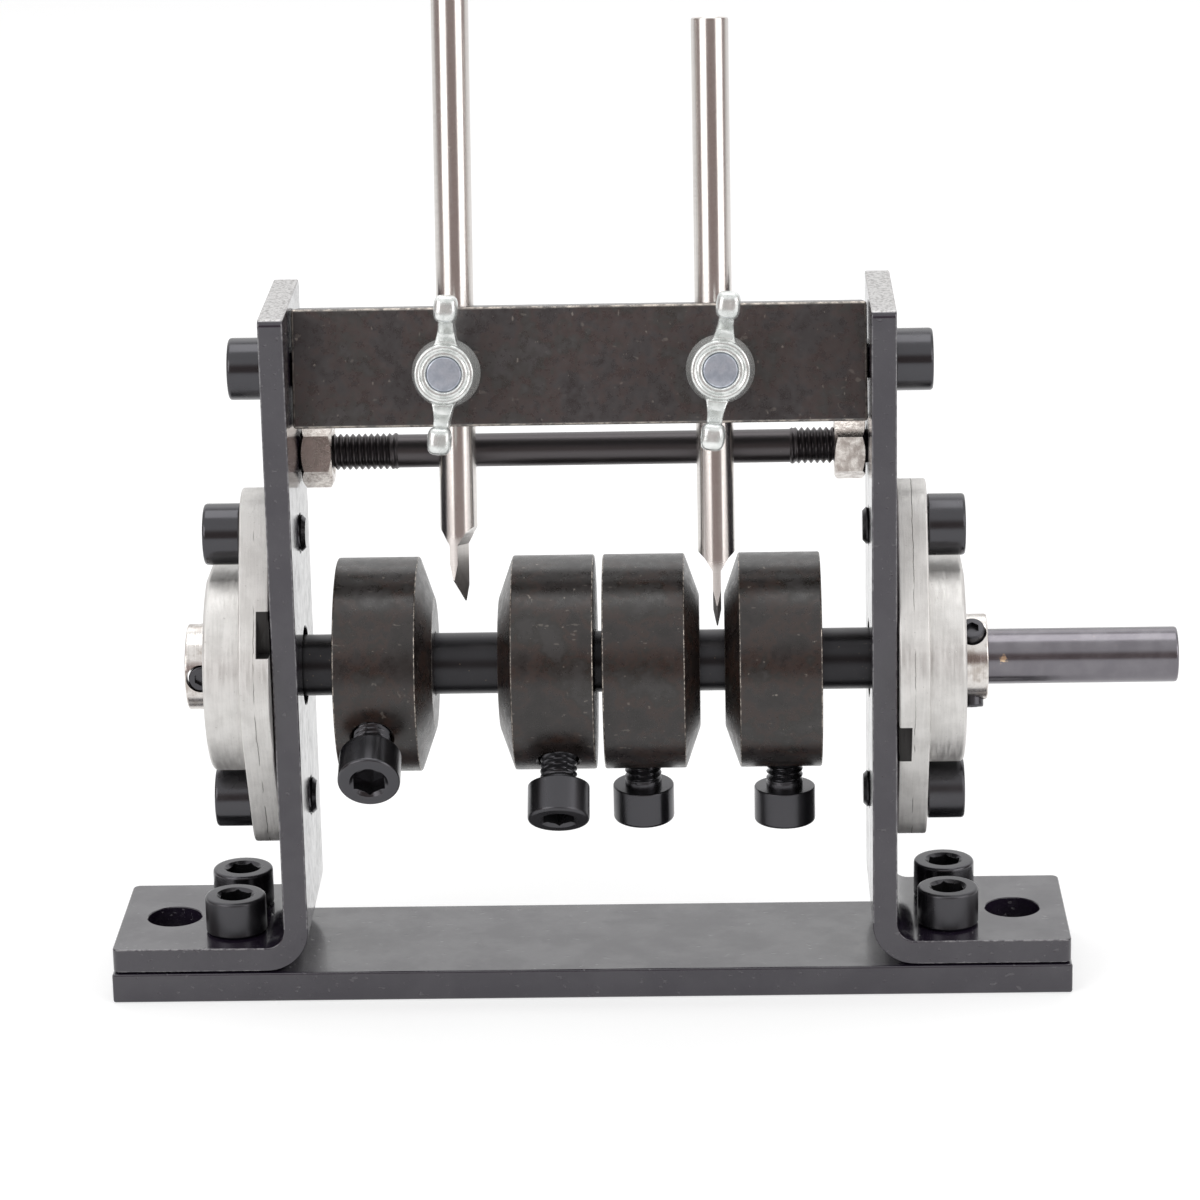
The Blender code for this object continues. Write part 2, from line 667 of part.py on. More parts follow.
def build_outer_ring(name, side):
    half = OUTER_RING_WIDTH / 2
    outline = sphere_zone(OUTER_RING_RADIUS, half, -half)
    outline += [(OUTER_RING_BORE, -half)]
    outline += groove_points(OUTER_RING_BORE)
    outline += [(OUTER_RING_BORE, half)]
    ring = turned(name + "_outer_ring", outline, bright_steel(name + "_outer_ring"), BEARING_STEPS, True)
    place(ring, (side * RING_CENTRE, 0, SHAFT_HEIGHT), outward(side))


def build_ball_cage(name, side):
    half = CAGE_WIDTH / 2
    outer = BALL_PITCH_RADIUS + CAGE_THICKNESS / 2
    inner = BALL_PITCH_RADIUS - CAGE_THICKNESS / 2
    outline = [(outer, half), (outer, -half), (inner, -half), (inner, half)]
    cage = turned(name + "_ball_cage", outline, bright_steel(name + "_ball_cage"), 2 * BALL_COUNT, True)
    place(cage, (side * RING_CENTRE, 0, SHAFT_HEIGHT), outward(side))
    for number in range(BALL_COUNT):
        around = math.tau * number / BALL_COUNT
        centre = (BALL_PITCH_RADIUS * math.cos(around), BALL_PITCH_RADIUS * math.sin(around), 0)
        shape = bmesh.new()
        bmesh.ops.create_uvsphere(shape, u_segments=BALL_COUNT, v_segments=BALL_RINGS, radius=BALL_RADIUS,
                                  matrix=Matrix.Translation(centre) @ Matrix.Rotation(around, 4, "Z"))
        join(cage, from_bmesh(cage.name + "_ball_" + str(number), shape, cage.data.materials[0]))


def build_seals(name, side):
    outer = OUTER_RING_BORE - HOLE_CLEARANCE
    inner = INNER_RING_RADIUS + HOLE_CLEARANCE
    middle = (OUTER_RING_WIDTH - SEAL_THICKNESS) / 2 - SEAT_GAP
    half = SEAL_THICKNESS / 2
    outline = [(outer, half), (outer, -half), (inner, -half), (inner, half)]
    for place_name, offset in (("inner", -middle), ("outer", middle)):
        node = name + "_" + place_name + "_seal"
        seal = turned(node, outline, dark_rubber(node), BEARING_STEPS, True)
        place(seal, (side * (RING_CENTRE + offset), 0, SHAFT_HEIGHT), outward(side))


def build_inner_ring(name, side, angles, proud, shaft_axis):
    start = PLATE_FACE + INNER_RING_STANDOFF - RING_CENTRE
    end = BARREL_DEPTH - SEAT_DEPTH + INNER_RING_REACH
    outline = [(INNER_RING_RADIUS, end)]
    outline += groove_points(INNER_RING_RADIUS)
    outline += [(INNER_RING_RADIUS, start), (SHAFT_BORE_RADIUS, start), (SHAFT_BORE_RADIUS, end)]
    ring = turned(name + "_inner_ring", outline, bright_steel(name + "_inner_ring"), BEARING_STEPS, True)
    place(ring, (side * RING_CENTRE, 0, 0), outward(side), shaft_axis)
    grub_z = end - GRUB_RADIUS - HOLE_CLEARANCE - GRUB_LAND
    for number, angle in enumerate(angles, 1):
        # The ring's own Y points to the rear on the left and to the front on the right
        around = math.atan2(side * math.cos(math.radians(angle)), -math.sin(math.radians(angle)))
        drill = cylinder(ring.name + "_grub_hole_" + str(number), GRUB_RADIUS + HOLE_CLEARANCE, 0,
                         INNER_RING_RADIUS + CUT_OVERRUN, ring.data.materials[0])
        drill.location = (0, 0, grub_z)
        drill.rotation_euler = Euler((0, math.pi / 2, around))
        cut(ring, drill)
        grub_name = name + "_grub_screw_" + str(number)
        top = INNER_RING_RADIUS + proud
        grub = cylinder(grub_name, GRUB_RADIUS, SHAFT_BORE_RADIUS - top, 0, black_oxide(grub_name))
        place(grub, on_radius(side * (RING_CENTRE + grub_z), top, angle), radial(angle), shaft_axis)
        corner_radius = GRUB_SOCKET_WIDTH / 2 / math.cos(math.radians(30))
        cut_hole(grub, "socket", corner_radius, (0, 0, CUT_OVERRUN), DOWN, GRUB_SOCKET_DEPTH + CUT_OVERRUN, 6)


def build_flange_screws(name, side):
    length = FLANGE_THICKNESS + 2 * SEAT_GAP + BRACKET_THICKNESS + FLANGE_SCREW_PROUD
    seat = HOUSING_FACE + FLANGE_THICKNESS + SEAT_GAP
    for end, turn in (("upper", 1), ("lower", -1)):
        screw = socket_screw(name + "_" + end + "_flange_screw", length)
        place(screw, (side * seat, 0, SHAFT_HEIGHT + turn * FLANGE_BOLT_REACH), outward(side))


# Shaft and rollers, which are placed from the shaft's axis

# The drive stub is turned down from the bearing's outer face on
def build_shaft(shaft_axis):
    right_end = PLATE_FACE + SHAFT_DRIVE_REACH
    left_end = -PLATE_FACE - SHAFT_FREE_REACH
    shoulder = HOUSING_FACE + BARREL_DEPTH + INNER_RING_REACH
    outline = [
        (0, right_end),
        (STUB_RADIUS - SHAFT_CHAMFER, right_end),
        (STUB_RADIUS, right_end - SHAFT_CHAMFER),
        (STUB_RADIUS, shoulder),
        (SHAFT_RADIUS, shoulder),
        (SHAFT_RADIUS, left_end + SHAFT_CHAMFER),
        (SHAFT_RADIUS - SHAFT_CHAMFER, left_end),
        (0, left_end),
    ]
    shaft = turned("drive_shaft", outline, black_steel("drive_shaft"), BEARING_STEPS)
    place(shaft, (0, 0, 0), ALONG_X, shaft_axis)


# Local Z of a roller points to its wire channel, where the rim is chamfered
def build_roller(number, face, way, angle, shaft_axis):
    name = "roller_" + str(number)
    outline = [
        (SHAFT_BORE_RADIUS, 0),
        (ROLLER_RADIUS - ROLLER_CHAMFER_DEPTH, 0),
        (ROLLER_RADIUS, -ROLLER_CHAMFER_WIDTH),
        (ROLLER_RADIUS, -ROLLER_WIDTH),
        (SHAFT_BORE_RADIUS, -ROLLER_WIDTH),
    ]
    roller = turned(name, outline, black_steel(name), ring=True)
    place(roller, (face, 0, 0), ALONG_X if way > 0 else AGAINST_X, shaft_axis)
    screw_depth = ROLLER_WIDTH - ROLLER_SCREW_INSET
    drill = cylinder(name + "_screw_hole", SCREW_HOLE_RADIUS, 0, ROLLER_RADIUS + CUT_OVERRUN,
                     roller.data.materials[0])
    # In the roller's own axes local X points down or up, as its Z points right or left
    around = math.atan2(-math.cos(math.radians(angle)), way * math.sin(math.radians(angle)))
    drill.location = (0, 0, -screw_depth)
    drill.rotation_euler = Euler((0, math.pi / 2, around))
    cut(roller, drill)
    head_seat = ROLLER_RADIUS + ROLLER_SCREW_NECK
    screw = socket_screw("roller_screw_" + str(number), head_seat - SHAFT_BORE_RADIUS)
    place(screw, on_radius(face - way * screw_depth, head_seat, angle), radial(angle), shaft_axis)


# Blades and their wing screws, which are placed from the bar's pivot

# Half of the blade's thickness at a height over the tip, from the round rod to the knife
def knife_flank():
    half = KNIFE_THICKNESS / 2
    taper_top = KNIFE_LENGTH + KNIFE_TAPER
    return [
        (half, -CUT_OVERRUN),
        (half, KNIFE_LENGTH),
        (BLADE_RADIUS - KNIFE_SHOULDER, taper_top),
        (BLADE_RADIUS + CUT_OVERRUN, taper_top + KNIFE_SHOULDER + CUT_OVERRUN),
        (BLADE_RADIUS + 2 * CUT_OVERRUN, taper_top + KNIFE_SHOULDER + CUT_OVERRUN),
        (BLADE_RADIUS + 2 * CUT_OVERRUN, -CUT_OVERRUN),
    ]


def build_blade(name, across, drop, turn, pivot):
    outline = [
        (0, BLADE_LENGTH),
        (BLADE_RADIUS - BLADE_CHAMFER, BLADE_LENGTH),
        (BLADE_RADIUS, BLADE_LENGTH - BLADE_CHAMFER),
        (BLADE_RADIUS, 0),
        (0, 0),
    ]
    blade = turned(name + "_blade", outline, bright_steel(name + "_blade"), SMALL_STEPS)
    place(blade, (across, 0, -drop), (0, 0, math.radians(turn)), pivot)
    material = blade.data.materials[0]
    cutter_depth = 2 * (BLADE_RADIUS + CUT_OVERRUN)
    for flank, side in (("left_flank", -1), ("right_flank", 1)):
        flank_outline = [(side * half, up) for half, up in knife_flank()]
        grind = flat_plate(blade.name + "_" + flank, flank_outline, cutter_depth, material)
        grind.rotation_euler = TO_FRONT
        cut(blade, grind)
    # The end slopes up from its rear corner, and both flanks are ground to an edge along it
    slant = Matrix.Translation((0, BLADE_RADIUS, 0)) @ Matrix.Rotation(math.radians(-KNIFE_SLANT), 4, "X")
    slope_length = 4 * BLADE_RADIUS
    waste_size = (cutter_depth, 2 * slope_length, slope_length)
    waste = block(blade.name + "_slant", waste_size, (0, 0, -slope_length / 2), material)
    waste.data.transform(slant)
    cut(blade, waste)
    for flank, side in (("left_edge", -1), ("right_edge", 1)):
        centre = (side * (slope_length / 2 + KNIFE_EDGE / 2), 0, 0)
        edge_size = (slope_length, 2 * slope_length, slope_length)
        waste = block(blade.name + "_" + flank, edge_size, centre, material)
        waste.data.transform(Matrix.Translation((-side * KNIFE_EDGE / 2, 0, 0)))
        waste.data.transform(Matrix.Rotation(math.radians(side * KNIFE_GRIND), 4, "Y"))
        waste.data.transform(Matrix.Translation((side * KNIFE_EDGE / 2, 0, 0)))
        waste.data.transform(slant)
        cut(blade, waste)


def build_clamp_stud(name, clamp_x, pivot):
    front = BAR_DEPTH / 2 + WING_STANDOFF + HUB_HEIGHT - STUD_RECESS
    tip = BLADE_RADIUS + HOLE_CLEARANCE
    outline = [
        (0, front),
        (M6_RADIUS - M6_TIP_CHAMFER, front),
        (M6_RADIUS, front - M6_TIP_CHAMFER),
        (M6_RADIUS, tip + M6_TIP_CHAMFER),
        (M6_RADIUS - M6_TIP_CHAMFER, tip),
        (0, tip),
    ]
    stud = turned(name + "_clamp_stud", outline, zinc_plate(name + "_clamp_stud"), SMALL_STEPS)
    place(stud, (clamp_x, 0, -CLAMP_DROP), TO_FRONT, pivot)


# One ear from the hub's axis out: along its outer edge, round the tip and back along the inner
def ear_outline(way):
    outer = [(EAR_REACH * out, EAR_RISE * up) for out, up in EAR_OUTER_SHARES]
    inner = [(EAR_REACH * out, EAR_RISE * up) for out, up in EAR_INNER_SHARES]
    tip = arc((EAR_REACH, EAR_RISE), EAR_TIP_RADIUS, *EAR_TIP_ARC)
    return [(way * out, up) for out, up in outer + tip + inner]


# The ear seen from the front: wide where it leaves the hub and drawn in to a thin neck
def ear_taper(way):
    flank = []
    for step in range(ARC_STEPS + 1):
        share = step / ARC_STEPS
        half = EAR_THICKNESS + (EAR_ROOT_THICKNESS - EAR_THICKNESS) * (1 - share) ** 2
        flank.append((EAR_NECK_REACH * share, half / 2))
    flank.append((EAR_REACH + EAR_TIP_RADIUS + CUT_OVERRUN, EAR_THICKNESS / 2))
    return [(way * out, half) for out, half in flank] + [(way * out, -half) for out, half in reversed(flank)]


def build_wing_head(name, clamp_x, turn, pivot):
    material = zinc_plate(name + "_wing_head")
    outline = [
        (0, HUB_HEIGHT),
        (HUB_FRONT_RADIUS - HUB_BEVEL, HUB_HEIGHT),
        (HUB_FRONT_RADIUS, HUB_HEIGHT - HUB_BEVEL),
        (HUB_BASE_RADIUS, HUB_BEVEL),
        (HUB_BASE_RADIUS - HUB_BEVEL, 0),
        (0, 0),
    ]
    head = turned(name + "_wing_head", outline, material, SMALL_STEPS)
    base = BAR_DEPTH / 2 + WING_STANDOFF
    place(head, (clamp_x, -base, -CLAMP_DROP), (math.pi / 2, math.radians(turn), 0), pivot)
    for ear_name, way in (("upper_ear", 1), ("lower_ear", -1)):
        ear = flat_plate(head.name + "_" + ear_name, ear_outline(way), EAR_ROOT_THICKNESS, material)
        # The outline's X runs out along local Y of the head and its Y up local Z
        ear.data.transform(Matrix.Rotation(math.pi / 2, 4, "Z") @ Matrix.Rotation(math.pi / 2, 4, "X"))
        taper_height = 2 * (EAR_RISE + EAR_TIP_RADIUS + CUT_OVERRUN)
        taper = flat_plate(ear.name + "_taper", ear_taper(way), taper_height, material)
        taper.rotation_euler = (0, 0, math.pi / 2)
        combine(ear, taper, "INTERSECT")
        join(head, ear)
        tip = cylinder(head.name + "_" + ear_name + "_tip", EAR_TIP_RADIUS, -EAR_TIP_THICKNESS / 2,
                       EAR_TIP_THICKNESS / 2, material)
        tip.data.transform(Matrix.Rotation(math.pi / 2, 4, "Y"))
        tip.location = (0, way * EAR_REACH, EAR_RISE)
        join(head, tip)
    cut_hole(head, "bore", M6_RADIUS + HOLE_CLEARANCE, (0, 0, -CUT_OVERRUN), (0, 0, 0),
             HUB_HEIGHT + 2 * CUT_OVERRUN)


# The modifiers are applied, and every round face is shaded smooth up to its sharp edges
def settle_parts():
    bpy.context.view_layer.update()
    graph = bpy.context.evaluated_depsgraph_get()
    for part in [item for item in PARTS.objects if item.type == "MESH"]:
        mesh = bpy.data.meshes.new_from_object(part.evaluated_get(graph))
        mesh.name = part.name
        mesh.shade_smooth()
        mesh.set_sharp_from_angle(angle=math.radians(30))
        part.modifiers.clear()
        part.data = mesh


def build():
    shaft_axis = empty("shaft_axis", (0, 0, SHAFT_HEIGHT))
    bar_pivot = empty("bar_pivot", (0, 0, BAR_PIVOT_HEIGHT), (math.radians(-BAR_LEAN), 0, 0))
    build_base()
    build_bar(bar_pivot)
    build_tie_rod()
    build_shaft(shaft_axis)
    grubs = {"left": (LEFT_GRUB_ANGLES, LEFT_GRUB_PROUD), "right": (RIGHT_GRUB_ANGLES, RIGHT_GRUB_PROUD)}
    for (name, side), nut_turn in zip(SIDES, TIE_NUT_TURNS):
        build_bracket(name, side)
        build_foot_screws(name, side)
        build_bar_screw(name, side)
        build_tie_nut(name, side, nut_turn)
        build_housing(name, side)
        build_outer_ring(name, side)
        build_ball_cage(name, side)
        build_seals(name, side)
        build_inner_ring(name, side, *grubs[name], shaft_axis)
        build_flange_screws(name, side)
    for number, ((face, way), angle) in enumerate(zip(ROLLER_ROW, ROLLER_SCREW_ANGLES), 1):
        build_roller(number, face, way, angle, shaft_axis)
    for (name, across, drop, side), blade_turn, wing_turn in zip(blade_places(), BLADE_TURNS, WING_TURNS):
        clamp_x = across + side * CLAMP_OFFSET
        build_blade(name, across, drop, blade_turn, bar_pivot)
        build_clamp_stud(name, clamp_x, bar_pivot)
        build_wing_head(name, clamp_x, wing_turn, bar_pivot)
    settle_parts()


build()
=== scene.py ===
import json
import math

import bmesh
import bpy
from mathutils import Euler, Matrix, Vector


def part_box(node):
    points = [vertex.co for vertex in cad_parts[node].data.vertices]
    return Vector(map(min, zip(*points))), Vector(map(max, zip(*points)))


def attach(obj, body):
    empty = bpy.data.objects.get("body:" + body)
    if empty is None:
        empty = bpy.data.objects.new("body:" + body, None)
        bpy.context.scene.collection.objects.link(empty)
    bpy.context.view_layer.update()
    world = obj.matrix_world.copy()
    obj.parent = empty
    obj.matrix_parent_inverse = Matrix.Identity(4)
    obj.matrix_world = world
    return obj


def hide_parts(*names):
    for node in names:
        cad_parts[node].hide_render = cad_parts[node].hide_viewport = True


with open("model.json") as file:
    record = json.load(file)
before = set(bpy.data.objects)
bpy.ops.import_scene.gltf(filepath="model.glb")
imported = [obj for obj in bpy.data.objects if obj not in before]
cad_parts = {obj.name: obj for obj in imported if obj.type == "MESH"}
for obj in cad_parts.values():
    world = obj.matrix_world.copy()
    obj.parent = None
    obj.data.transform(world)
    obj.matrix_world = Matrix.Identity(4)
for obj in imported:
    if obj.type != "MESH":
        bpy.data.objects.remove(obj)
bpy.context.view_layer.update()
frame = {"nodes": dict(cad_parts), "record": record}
print("frame loaded with", len(frame["nodes"]), "nodes")

mm = 0.001  # shapes are drawn in millimetres and scaled down when they become pieces
grainShift = (173.0, 91.0, 57.0)  # how far the grain of a finish moves from one piece to the next
mixSockets = dict(share=0, first=6, second=7, result=2)  # the colour sockets of a Mix node
beyond = 1.0  # how far a cutter reaches past the faces that it cuts
nearby = 0.01  # distances below this count as none
grainSpread = (0.3, 0.7)  # between these lie most values of a noise
bodyOf = {node: body for body, nodes in frame["record"]["behaviour"]["bodies"].items() for node in nodes}


def boxOf(node):
    low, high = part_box(node)
    return low / mm, high / mm


def middleOf(node):
    low, high = boxOf(node)
    return (low + high) / 2


# Shader wiring

class Signal:
    # a socket that can be added, scaled and fed on to other nodes

    def __init__(self, tree, socket=None):
        self.tree = tree
        self.socket = socket

    def node(self, kind, settings, values, output=0):
        made = self.tree.nodes.new("ShaderNode" + kind)
        for key, value in settings.items():
            if key == "stops":
                placeStops(made.color_ramp, value)
            else:
                setattr(made, key, value)
        for key, value in values.items():
            if isinstance(value, Signal):
                self.tree.links.new(value.socket, made.inputs[key])
            else:
                made.inputs[key].default_value = value
        return Signal(self.tree, made.outputs[output])

    def math(self, operation, first, second=0.0):
        return self.node("Math", {"operation": operation}, {0: first, 1: second})

    def __add__(self, other):
        return self.math("ADD", self, other)

    def __radd__(self, other):
        return self.math("ADD", other, self)

    def __sub__(self, other):
        return self.math("SUBTRACT", self, other)

    def __rsub__(self, other):
        return self.math("SUBTRACT", other, self)

    def __mul__(self, other):
        return self.math("MULTIPLY", self, other)

    def __rmul__(self, other):
        return self.math("MULTIPLY", other, self)

    def __abs__(self):
        return self.math("ABSOLUTE", self)

    def least(self, other):
        return self.math("MINIMUM", self, other)

    def most(self, other):
        return self.math("MAXIMUM", self, other)

    def length(self):
        return self.node("VectorMath", {"operation": "LENGTH"}, {0: self}, "Value")

    def root(self):
        return self.math("SQRT", self)

    def toned(self, *stops):
        return self.node("ValToRGB", {"stops": stops}, {0: self})

    def ramped(self, start, end, low=0.0, high=1.0):
        reach = {"Value": self, "From Min": start, "From Max": end, "To Min": low, "To Max": high}
        return self.node("MapRange", {"interpolation_type": "SMOOTHSTEP"}, reach)

    # the first colour where this is 0 and the second where it is 1
    def blended(self, first, second):
        values = {mixSockets["share"]: self, mixSockets["first"]: first, mixSockets["second"]: second}
        return self.node("Mix", {"data_type": "RGBA"}, values, mixSockets["result"])

    def scaled(self, factor):
        return self.node("VectorMath", {"operation": "MULTIPLY"}, {0: self, 1: factor})

    def moved(self, offset):
        return self.node("VectorMath", {"operation": "ADD"}, {0: self, 1: offset})

    def part(self, axis):
        return self.node("SeparateXYZ", {}, {0: self}, axis)

    def noise(self, scale, detail=3.0, roughness=0.5, stretch=(1, 1, 1)):
        values = {"Vector": self.scaled(stretch), "Scale": scale, "Detail": detail, "Roughness": roughness}
        return self.node("TexNoise", {}, values)


def placeStops(ramp, stops):
    while len(ramp.elements) < len(stops):
        ramp.elements.new(0.5)
    for element, (spot, colour) in zip(ramp.elements, stops):
        element.position = spot
        element.color = colour


def paint(red, green, blue):
    return (red, green, blue, 1)


class Finish:
    # one material: a Principled shader and a place in millimetres on the piece

    def __init__(self, name, slot):
        self.slot = slot
        self.material = bpy.data.materials.new(name)
        self.material.use_nodes = True
        tree = self.material.node_tree
        self.shader = tree.nodes["Principled BSDF"]
        start = Signal(tree)
        spot = start.node("TexCoord", {}, {}, "Object")
        self.place = spot.scaled((1 / mm, 1 / mm, 1 / mm))
        chance = start.node("ObjectInfo", {}, {}, "Random")
        shifts = {axis: chance * reach for axis, reach in enumerate(grainShift)}
        shift = start.node("CombineXYZ", {}, shifts)
        self.grain = self.place.moved(shift)  # the same place, but shifted for each piece

    def set(self, **inputs):
        names = {"colour": "Base Color", "roughness": "Roughness", "metallic": "Metallic",
                 "coat": "Coat Weight", "coatRoughness": "Coat Roughness",
                 "specular": "Specular IOR Level", "normal": "Normal"}
        for key, value in inputs.items():
            if isinstance(value, Signal):
                value.tree.links.new(value.socket, self.shader.inputs[names[key]])
            else:
                self.shader.inputs[names[key]].default_value = value

    # grain, given as (scale, detail, roughness, stretch), spread over a range (start, end, low, high)
    def patches(self, grain, spread):
        return self.grain.noise(*grain).ramped(*spread)

    def bump(self, height, distance):
        return height.node("Bump", {}, {"Height": height, "Distance": distance * mm})

    # distance in millimetres from a turned edge at the given radius and height
    def fromEdge(self, radius, height):
        wide = self.place.scaled((1, 1, 0)).length() - radius
        tall = self.place.part(2) - height
        return (wide * wide + tall * tall).root()


# Finishes

# Satin black paint over plate: light specks and dents, painted highlights along the arrises of the
# brackets' front and rear, and a painted reflection in light speckled grey on the brackets' top ends
def satinFramePaint():
    look = dict(colour=paint(0.016, 0.011, 0.022), dust=paint(0.30, 0.29, 0.30), roughness=0.17,
                dullRoughness=0.25, thinCoat=0.38, thickCoat=0.62, coatRoughness=0.12, specular=0.74,
                specksSeen=0.45, scuffsSeen=0.06, dentsSeen=0.14, mostSoilAndHighlight=0.7, gritHeight=0.0030,
                coarseGrit=1.5, speckHeight=0.8, dentDepth=14, arrisWidth=0.34, arrisCore=0.1, bendFade=0.3,
                cut=paint(0.60, 0.59, 0.585), cutShade=paint(0.26, 0.25, 0.245), cutDepth=0.32,
                cutRoughness=0.36, cutMetal=0.5)
    grains = dict(dull=((0.5, 4.0, 0.65), (0.35, 0.7)), specks=((2.3, 2.0, 0.7), (0.69, 0.76)),
                  clouds=((0.12, 5.0, 0.6), (0.36, 0.64, look["thinCoat"], look["thickCoat"])),
                  dents=((0.8, 1.0, 0.4, (1, 1, 1.6)), (0.70, 0.76)),
                  scuffs=((0.9, 3.0, 0.6, (1, 0.08, 1)), (0.68, 0.76)),
                  broken=((0.7, 4.0, 0.7), (0.40, 0.62, 0.15, 0.8)), fineGrit=(4.5, 2.0, 0.6),
                  coarseGrit=(1.2, 2.0, 0.5), speckle=((1.8, 4.0, 0.75), (0.38, 0.54)))
    finish = Finish("satin frame paint", "satin_black_paint")
    low, high = boxOf("right_bracket")
    dull = finish.patches(*grains["dull"])
    clouds = finish.patches(*grains["clouds"])
    specks = finish.patches(*grains["specks"])
    dents = finish.patches(*grains["dents"])
    scuffs = finish.patches(*grains["scuffs"])
    across, height = abs(finish.place.part(0)), finish.place.part(2)
    plateGap = abs(across - low.x).least(abs(across - low.x - bentPlate["thickness"]))
    footTop = bentPlate["footBottom"] + bentPlate["thickness"]
    footGap = abs(height - footTop).least(abs(height - bentPlate["footBottom"]))
    bendTop = footTop + bentPlate["bendRadius"]
    bendEnd = low.x + bentPlate["thickness"] + bentPlate["bendRadius"]
    plateGap = plateGap + height.ramped(bendTop + look["bendFade"], bendTop)
    footGap = footGap + across.ramped(bendEnd + look["bendFade"], bendEnd)
    # painted highlight: a light line along the arrises of the brackets' front and rear faces, broken by
    # noise
    arrisHighlight = plateGap.least(footGap).ramped(look["arrisWidth"], look["arrisCore"])
    arrisHighlight = arrisHighlight * (high.y - abs(finish.place.part(1))).ramped(look["arrisWidth"], look["arrisCore"])
    arrisHighlight = arrisHighlight * finish.patches(*grains["broken"])
    # the dust colour shows real specks, scuffs and dents and also the painted arris highlights
    soilAndHighlight = specks * look["specksSeen"] + scuffs * look["scuffsSeen"] + dents * look["dentsSeen"] + arrisHighlight
    soilAndHighlight = soilAndHighlight.least(look["mostSoilAndHighlight"])
    grit = finish.grain.noise(*grains["fineGrit"])
    grit = grit + finish.grain.noise(*grains["coarseGrit"]) * look["coarseGrit"]
    # painted reflection: the brackets' top ends are painted light speckled grey and half metallic
    paintedTopReflection = height.ramped(high.z - look["cutDepth"], high.z - look["cutDepth"] / 2)
    speckle = finish.patches(*grains["speckle"])
    roughness = dull.ramped(0, 1, look["roughness"], look["dullRoughness"])
    finish.set(colour=paintedTopReflection.blended(soilAndHighlight.blended(look["colour"], look["dust"]),
                                   speckle.blended(look["cutShade"], look["cut"])),
               roughness=roughness + paintedTopReflection * (look["cutRoughness"] - look["roughness"]),
               metallic=paintedTopReflection * look["cutMetal"], specular=look["specular"], coat=(1 - paintedTopReflection) * clouds,
               coatRoughness=look["coatRoughness"],
               normal=finish.bump(grit + specks * look["speckHeight"] - dents * look["dentDepth"],
                                  look["gritHeight"]))
    return finish


# Black oxide over turned or milled steel, mottled brown and grey, with thin worn lines along its edges
def blackenedSteel(name, shades, gloss, edges=None, boxEdges=None):
    look = dict(bare=paint(0.56, 0.50, 0.44), roughness=0.24, patchRoughness=0.37, bareMetal=0.7,
                scratchesSeen=0.30, nicksSeen=0.34, dustSeen=0.14, boxEdgesSeen=0.9, edgeWidth=0.17,
                edgeCore=0.04, cloudShare=0.85, fineShare=0.15, places=(0.38, 0.46, 0.51, 0.56, 0.62),
                grainShare=0.6, grainHeight=0.007)
    grains = dict(clouds=(0.11, 5.0, 0.65), fine=(0.55, 5.0, 0.7), surface=(3.5, 3.0, 0.6),
                  scratches=((0.40, 2.0, 0.5, (1, 6.0, 1.4)), (0.70, 0.735)),
                  nicks=((0.9, 3.0, 0.5, (1.6, 0.8, 1)), (0.70, 0.75)),
                  dust=((3.0, 2.0, 0.6), (0.68, 0.80)),
                  broken=((1.3, 4.0, 0.7), (0.44, 0.60, 0.12, 1.0)),
                  boxBroken=((0.6, 4.0, 0.7), (0.38, 0.62, 0.15, 1.0)))
    finish = Finish(name, "blackened_steel")
    clouds = finish.grain.noise(*grains["clouds"])
    fine = finish.grain.noise(*grains["fine"])
    mottle = clouds * look["cloudShare"] + fine * look["fineShare"]
    base = mottle.toned(*zip(look["places"], shades))
    scratches = finish.patches(*grains["scratches"])
    nicks = finish.patches(*grains["nicks"])
    dust = finish.patches(*grains["dust"])
    worn = scratches * fine * look["scratchesSeen"] + nicks * look["nicksSeen"] + dust * look["dustSeen"]
    if edges:
        broken = finish.patches(*grains["broken"])
        for radius, height in edges:
            line = finish.fromEdge(radius, height).ramped(look["edgeWidth"], look["edgeCore"])
            worn = worn + line * broken
    if boxEdges:
        broken = finish.patches(*grains["boxBroken"])
        worn = worn + boxEdgeLine(finish, boxEdges) * broken * look["boxEdgesSeen"]
    worn = worn.least(1.0)
    grain = finish.grain.noise(*grains["surface"])
    finish.set(colour=worn.blended(base, look["bare"]),
               roughness=fine.ramped(*grainSpread, look["roughness"], look["patchRoughness"]),
               metallic=worn * look["bareMetal"], specular=gloss,
               normal=finish.bump(grain * look["grainShare"] + fine, look["grainHeight"]))
    return finish


# A mask that is 1 along the edges of a box with these half sizes and 0 away from them
def boxEdgeLine(finish, halves, width=0.46, core=0.24):
    gaps = [half - abs(finish.place.part(axis)) for axis, half in enumerate(halves)]
    nearest = gaps[0].most(gaps[1]).least(gaps[0].most(gaps[2])).least(gaps[1].most(gaps[2]))
    return nearest.ramped(width, core)


# Black oxide on screws and rods, with small rubbed spots
def fastenerBlack(name, colour, roughness, dullRoughness):
    look = dict(rub=paint(0.30, 0.29, 0.285), rubsSeen=0.6, metal=0.9, specular=0.5, grainHeight=0.0015)
    grains = dict(dull=((0.03, 4.0, 0.6), (0.40, 0.60)), rubbed=((2.2, 3.0, 0.7), (0.70, 0.78)),
                  surface=(5.0, 3.0, 0.6))
    finish = Finish(name, "black_oxide")
    dull = finish.patches(*grains["dull"])
    rubbed = finish.patches(*grains["rubbed"]) * look["rubsSeen"]
    finish.set(colour=rubbed.blended(colour, look["rub"]),
               roughness=dull.ramped(0.0, 1.0, roughness, dullRoughness),
               metallic=look["metal"], specular=look["specular"],
               normal=finish.bump(finish.grain.noise(*grains["surface"]), look["grainHeight"]))
    return finish
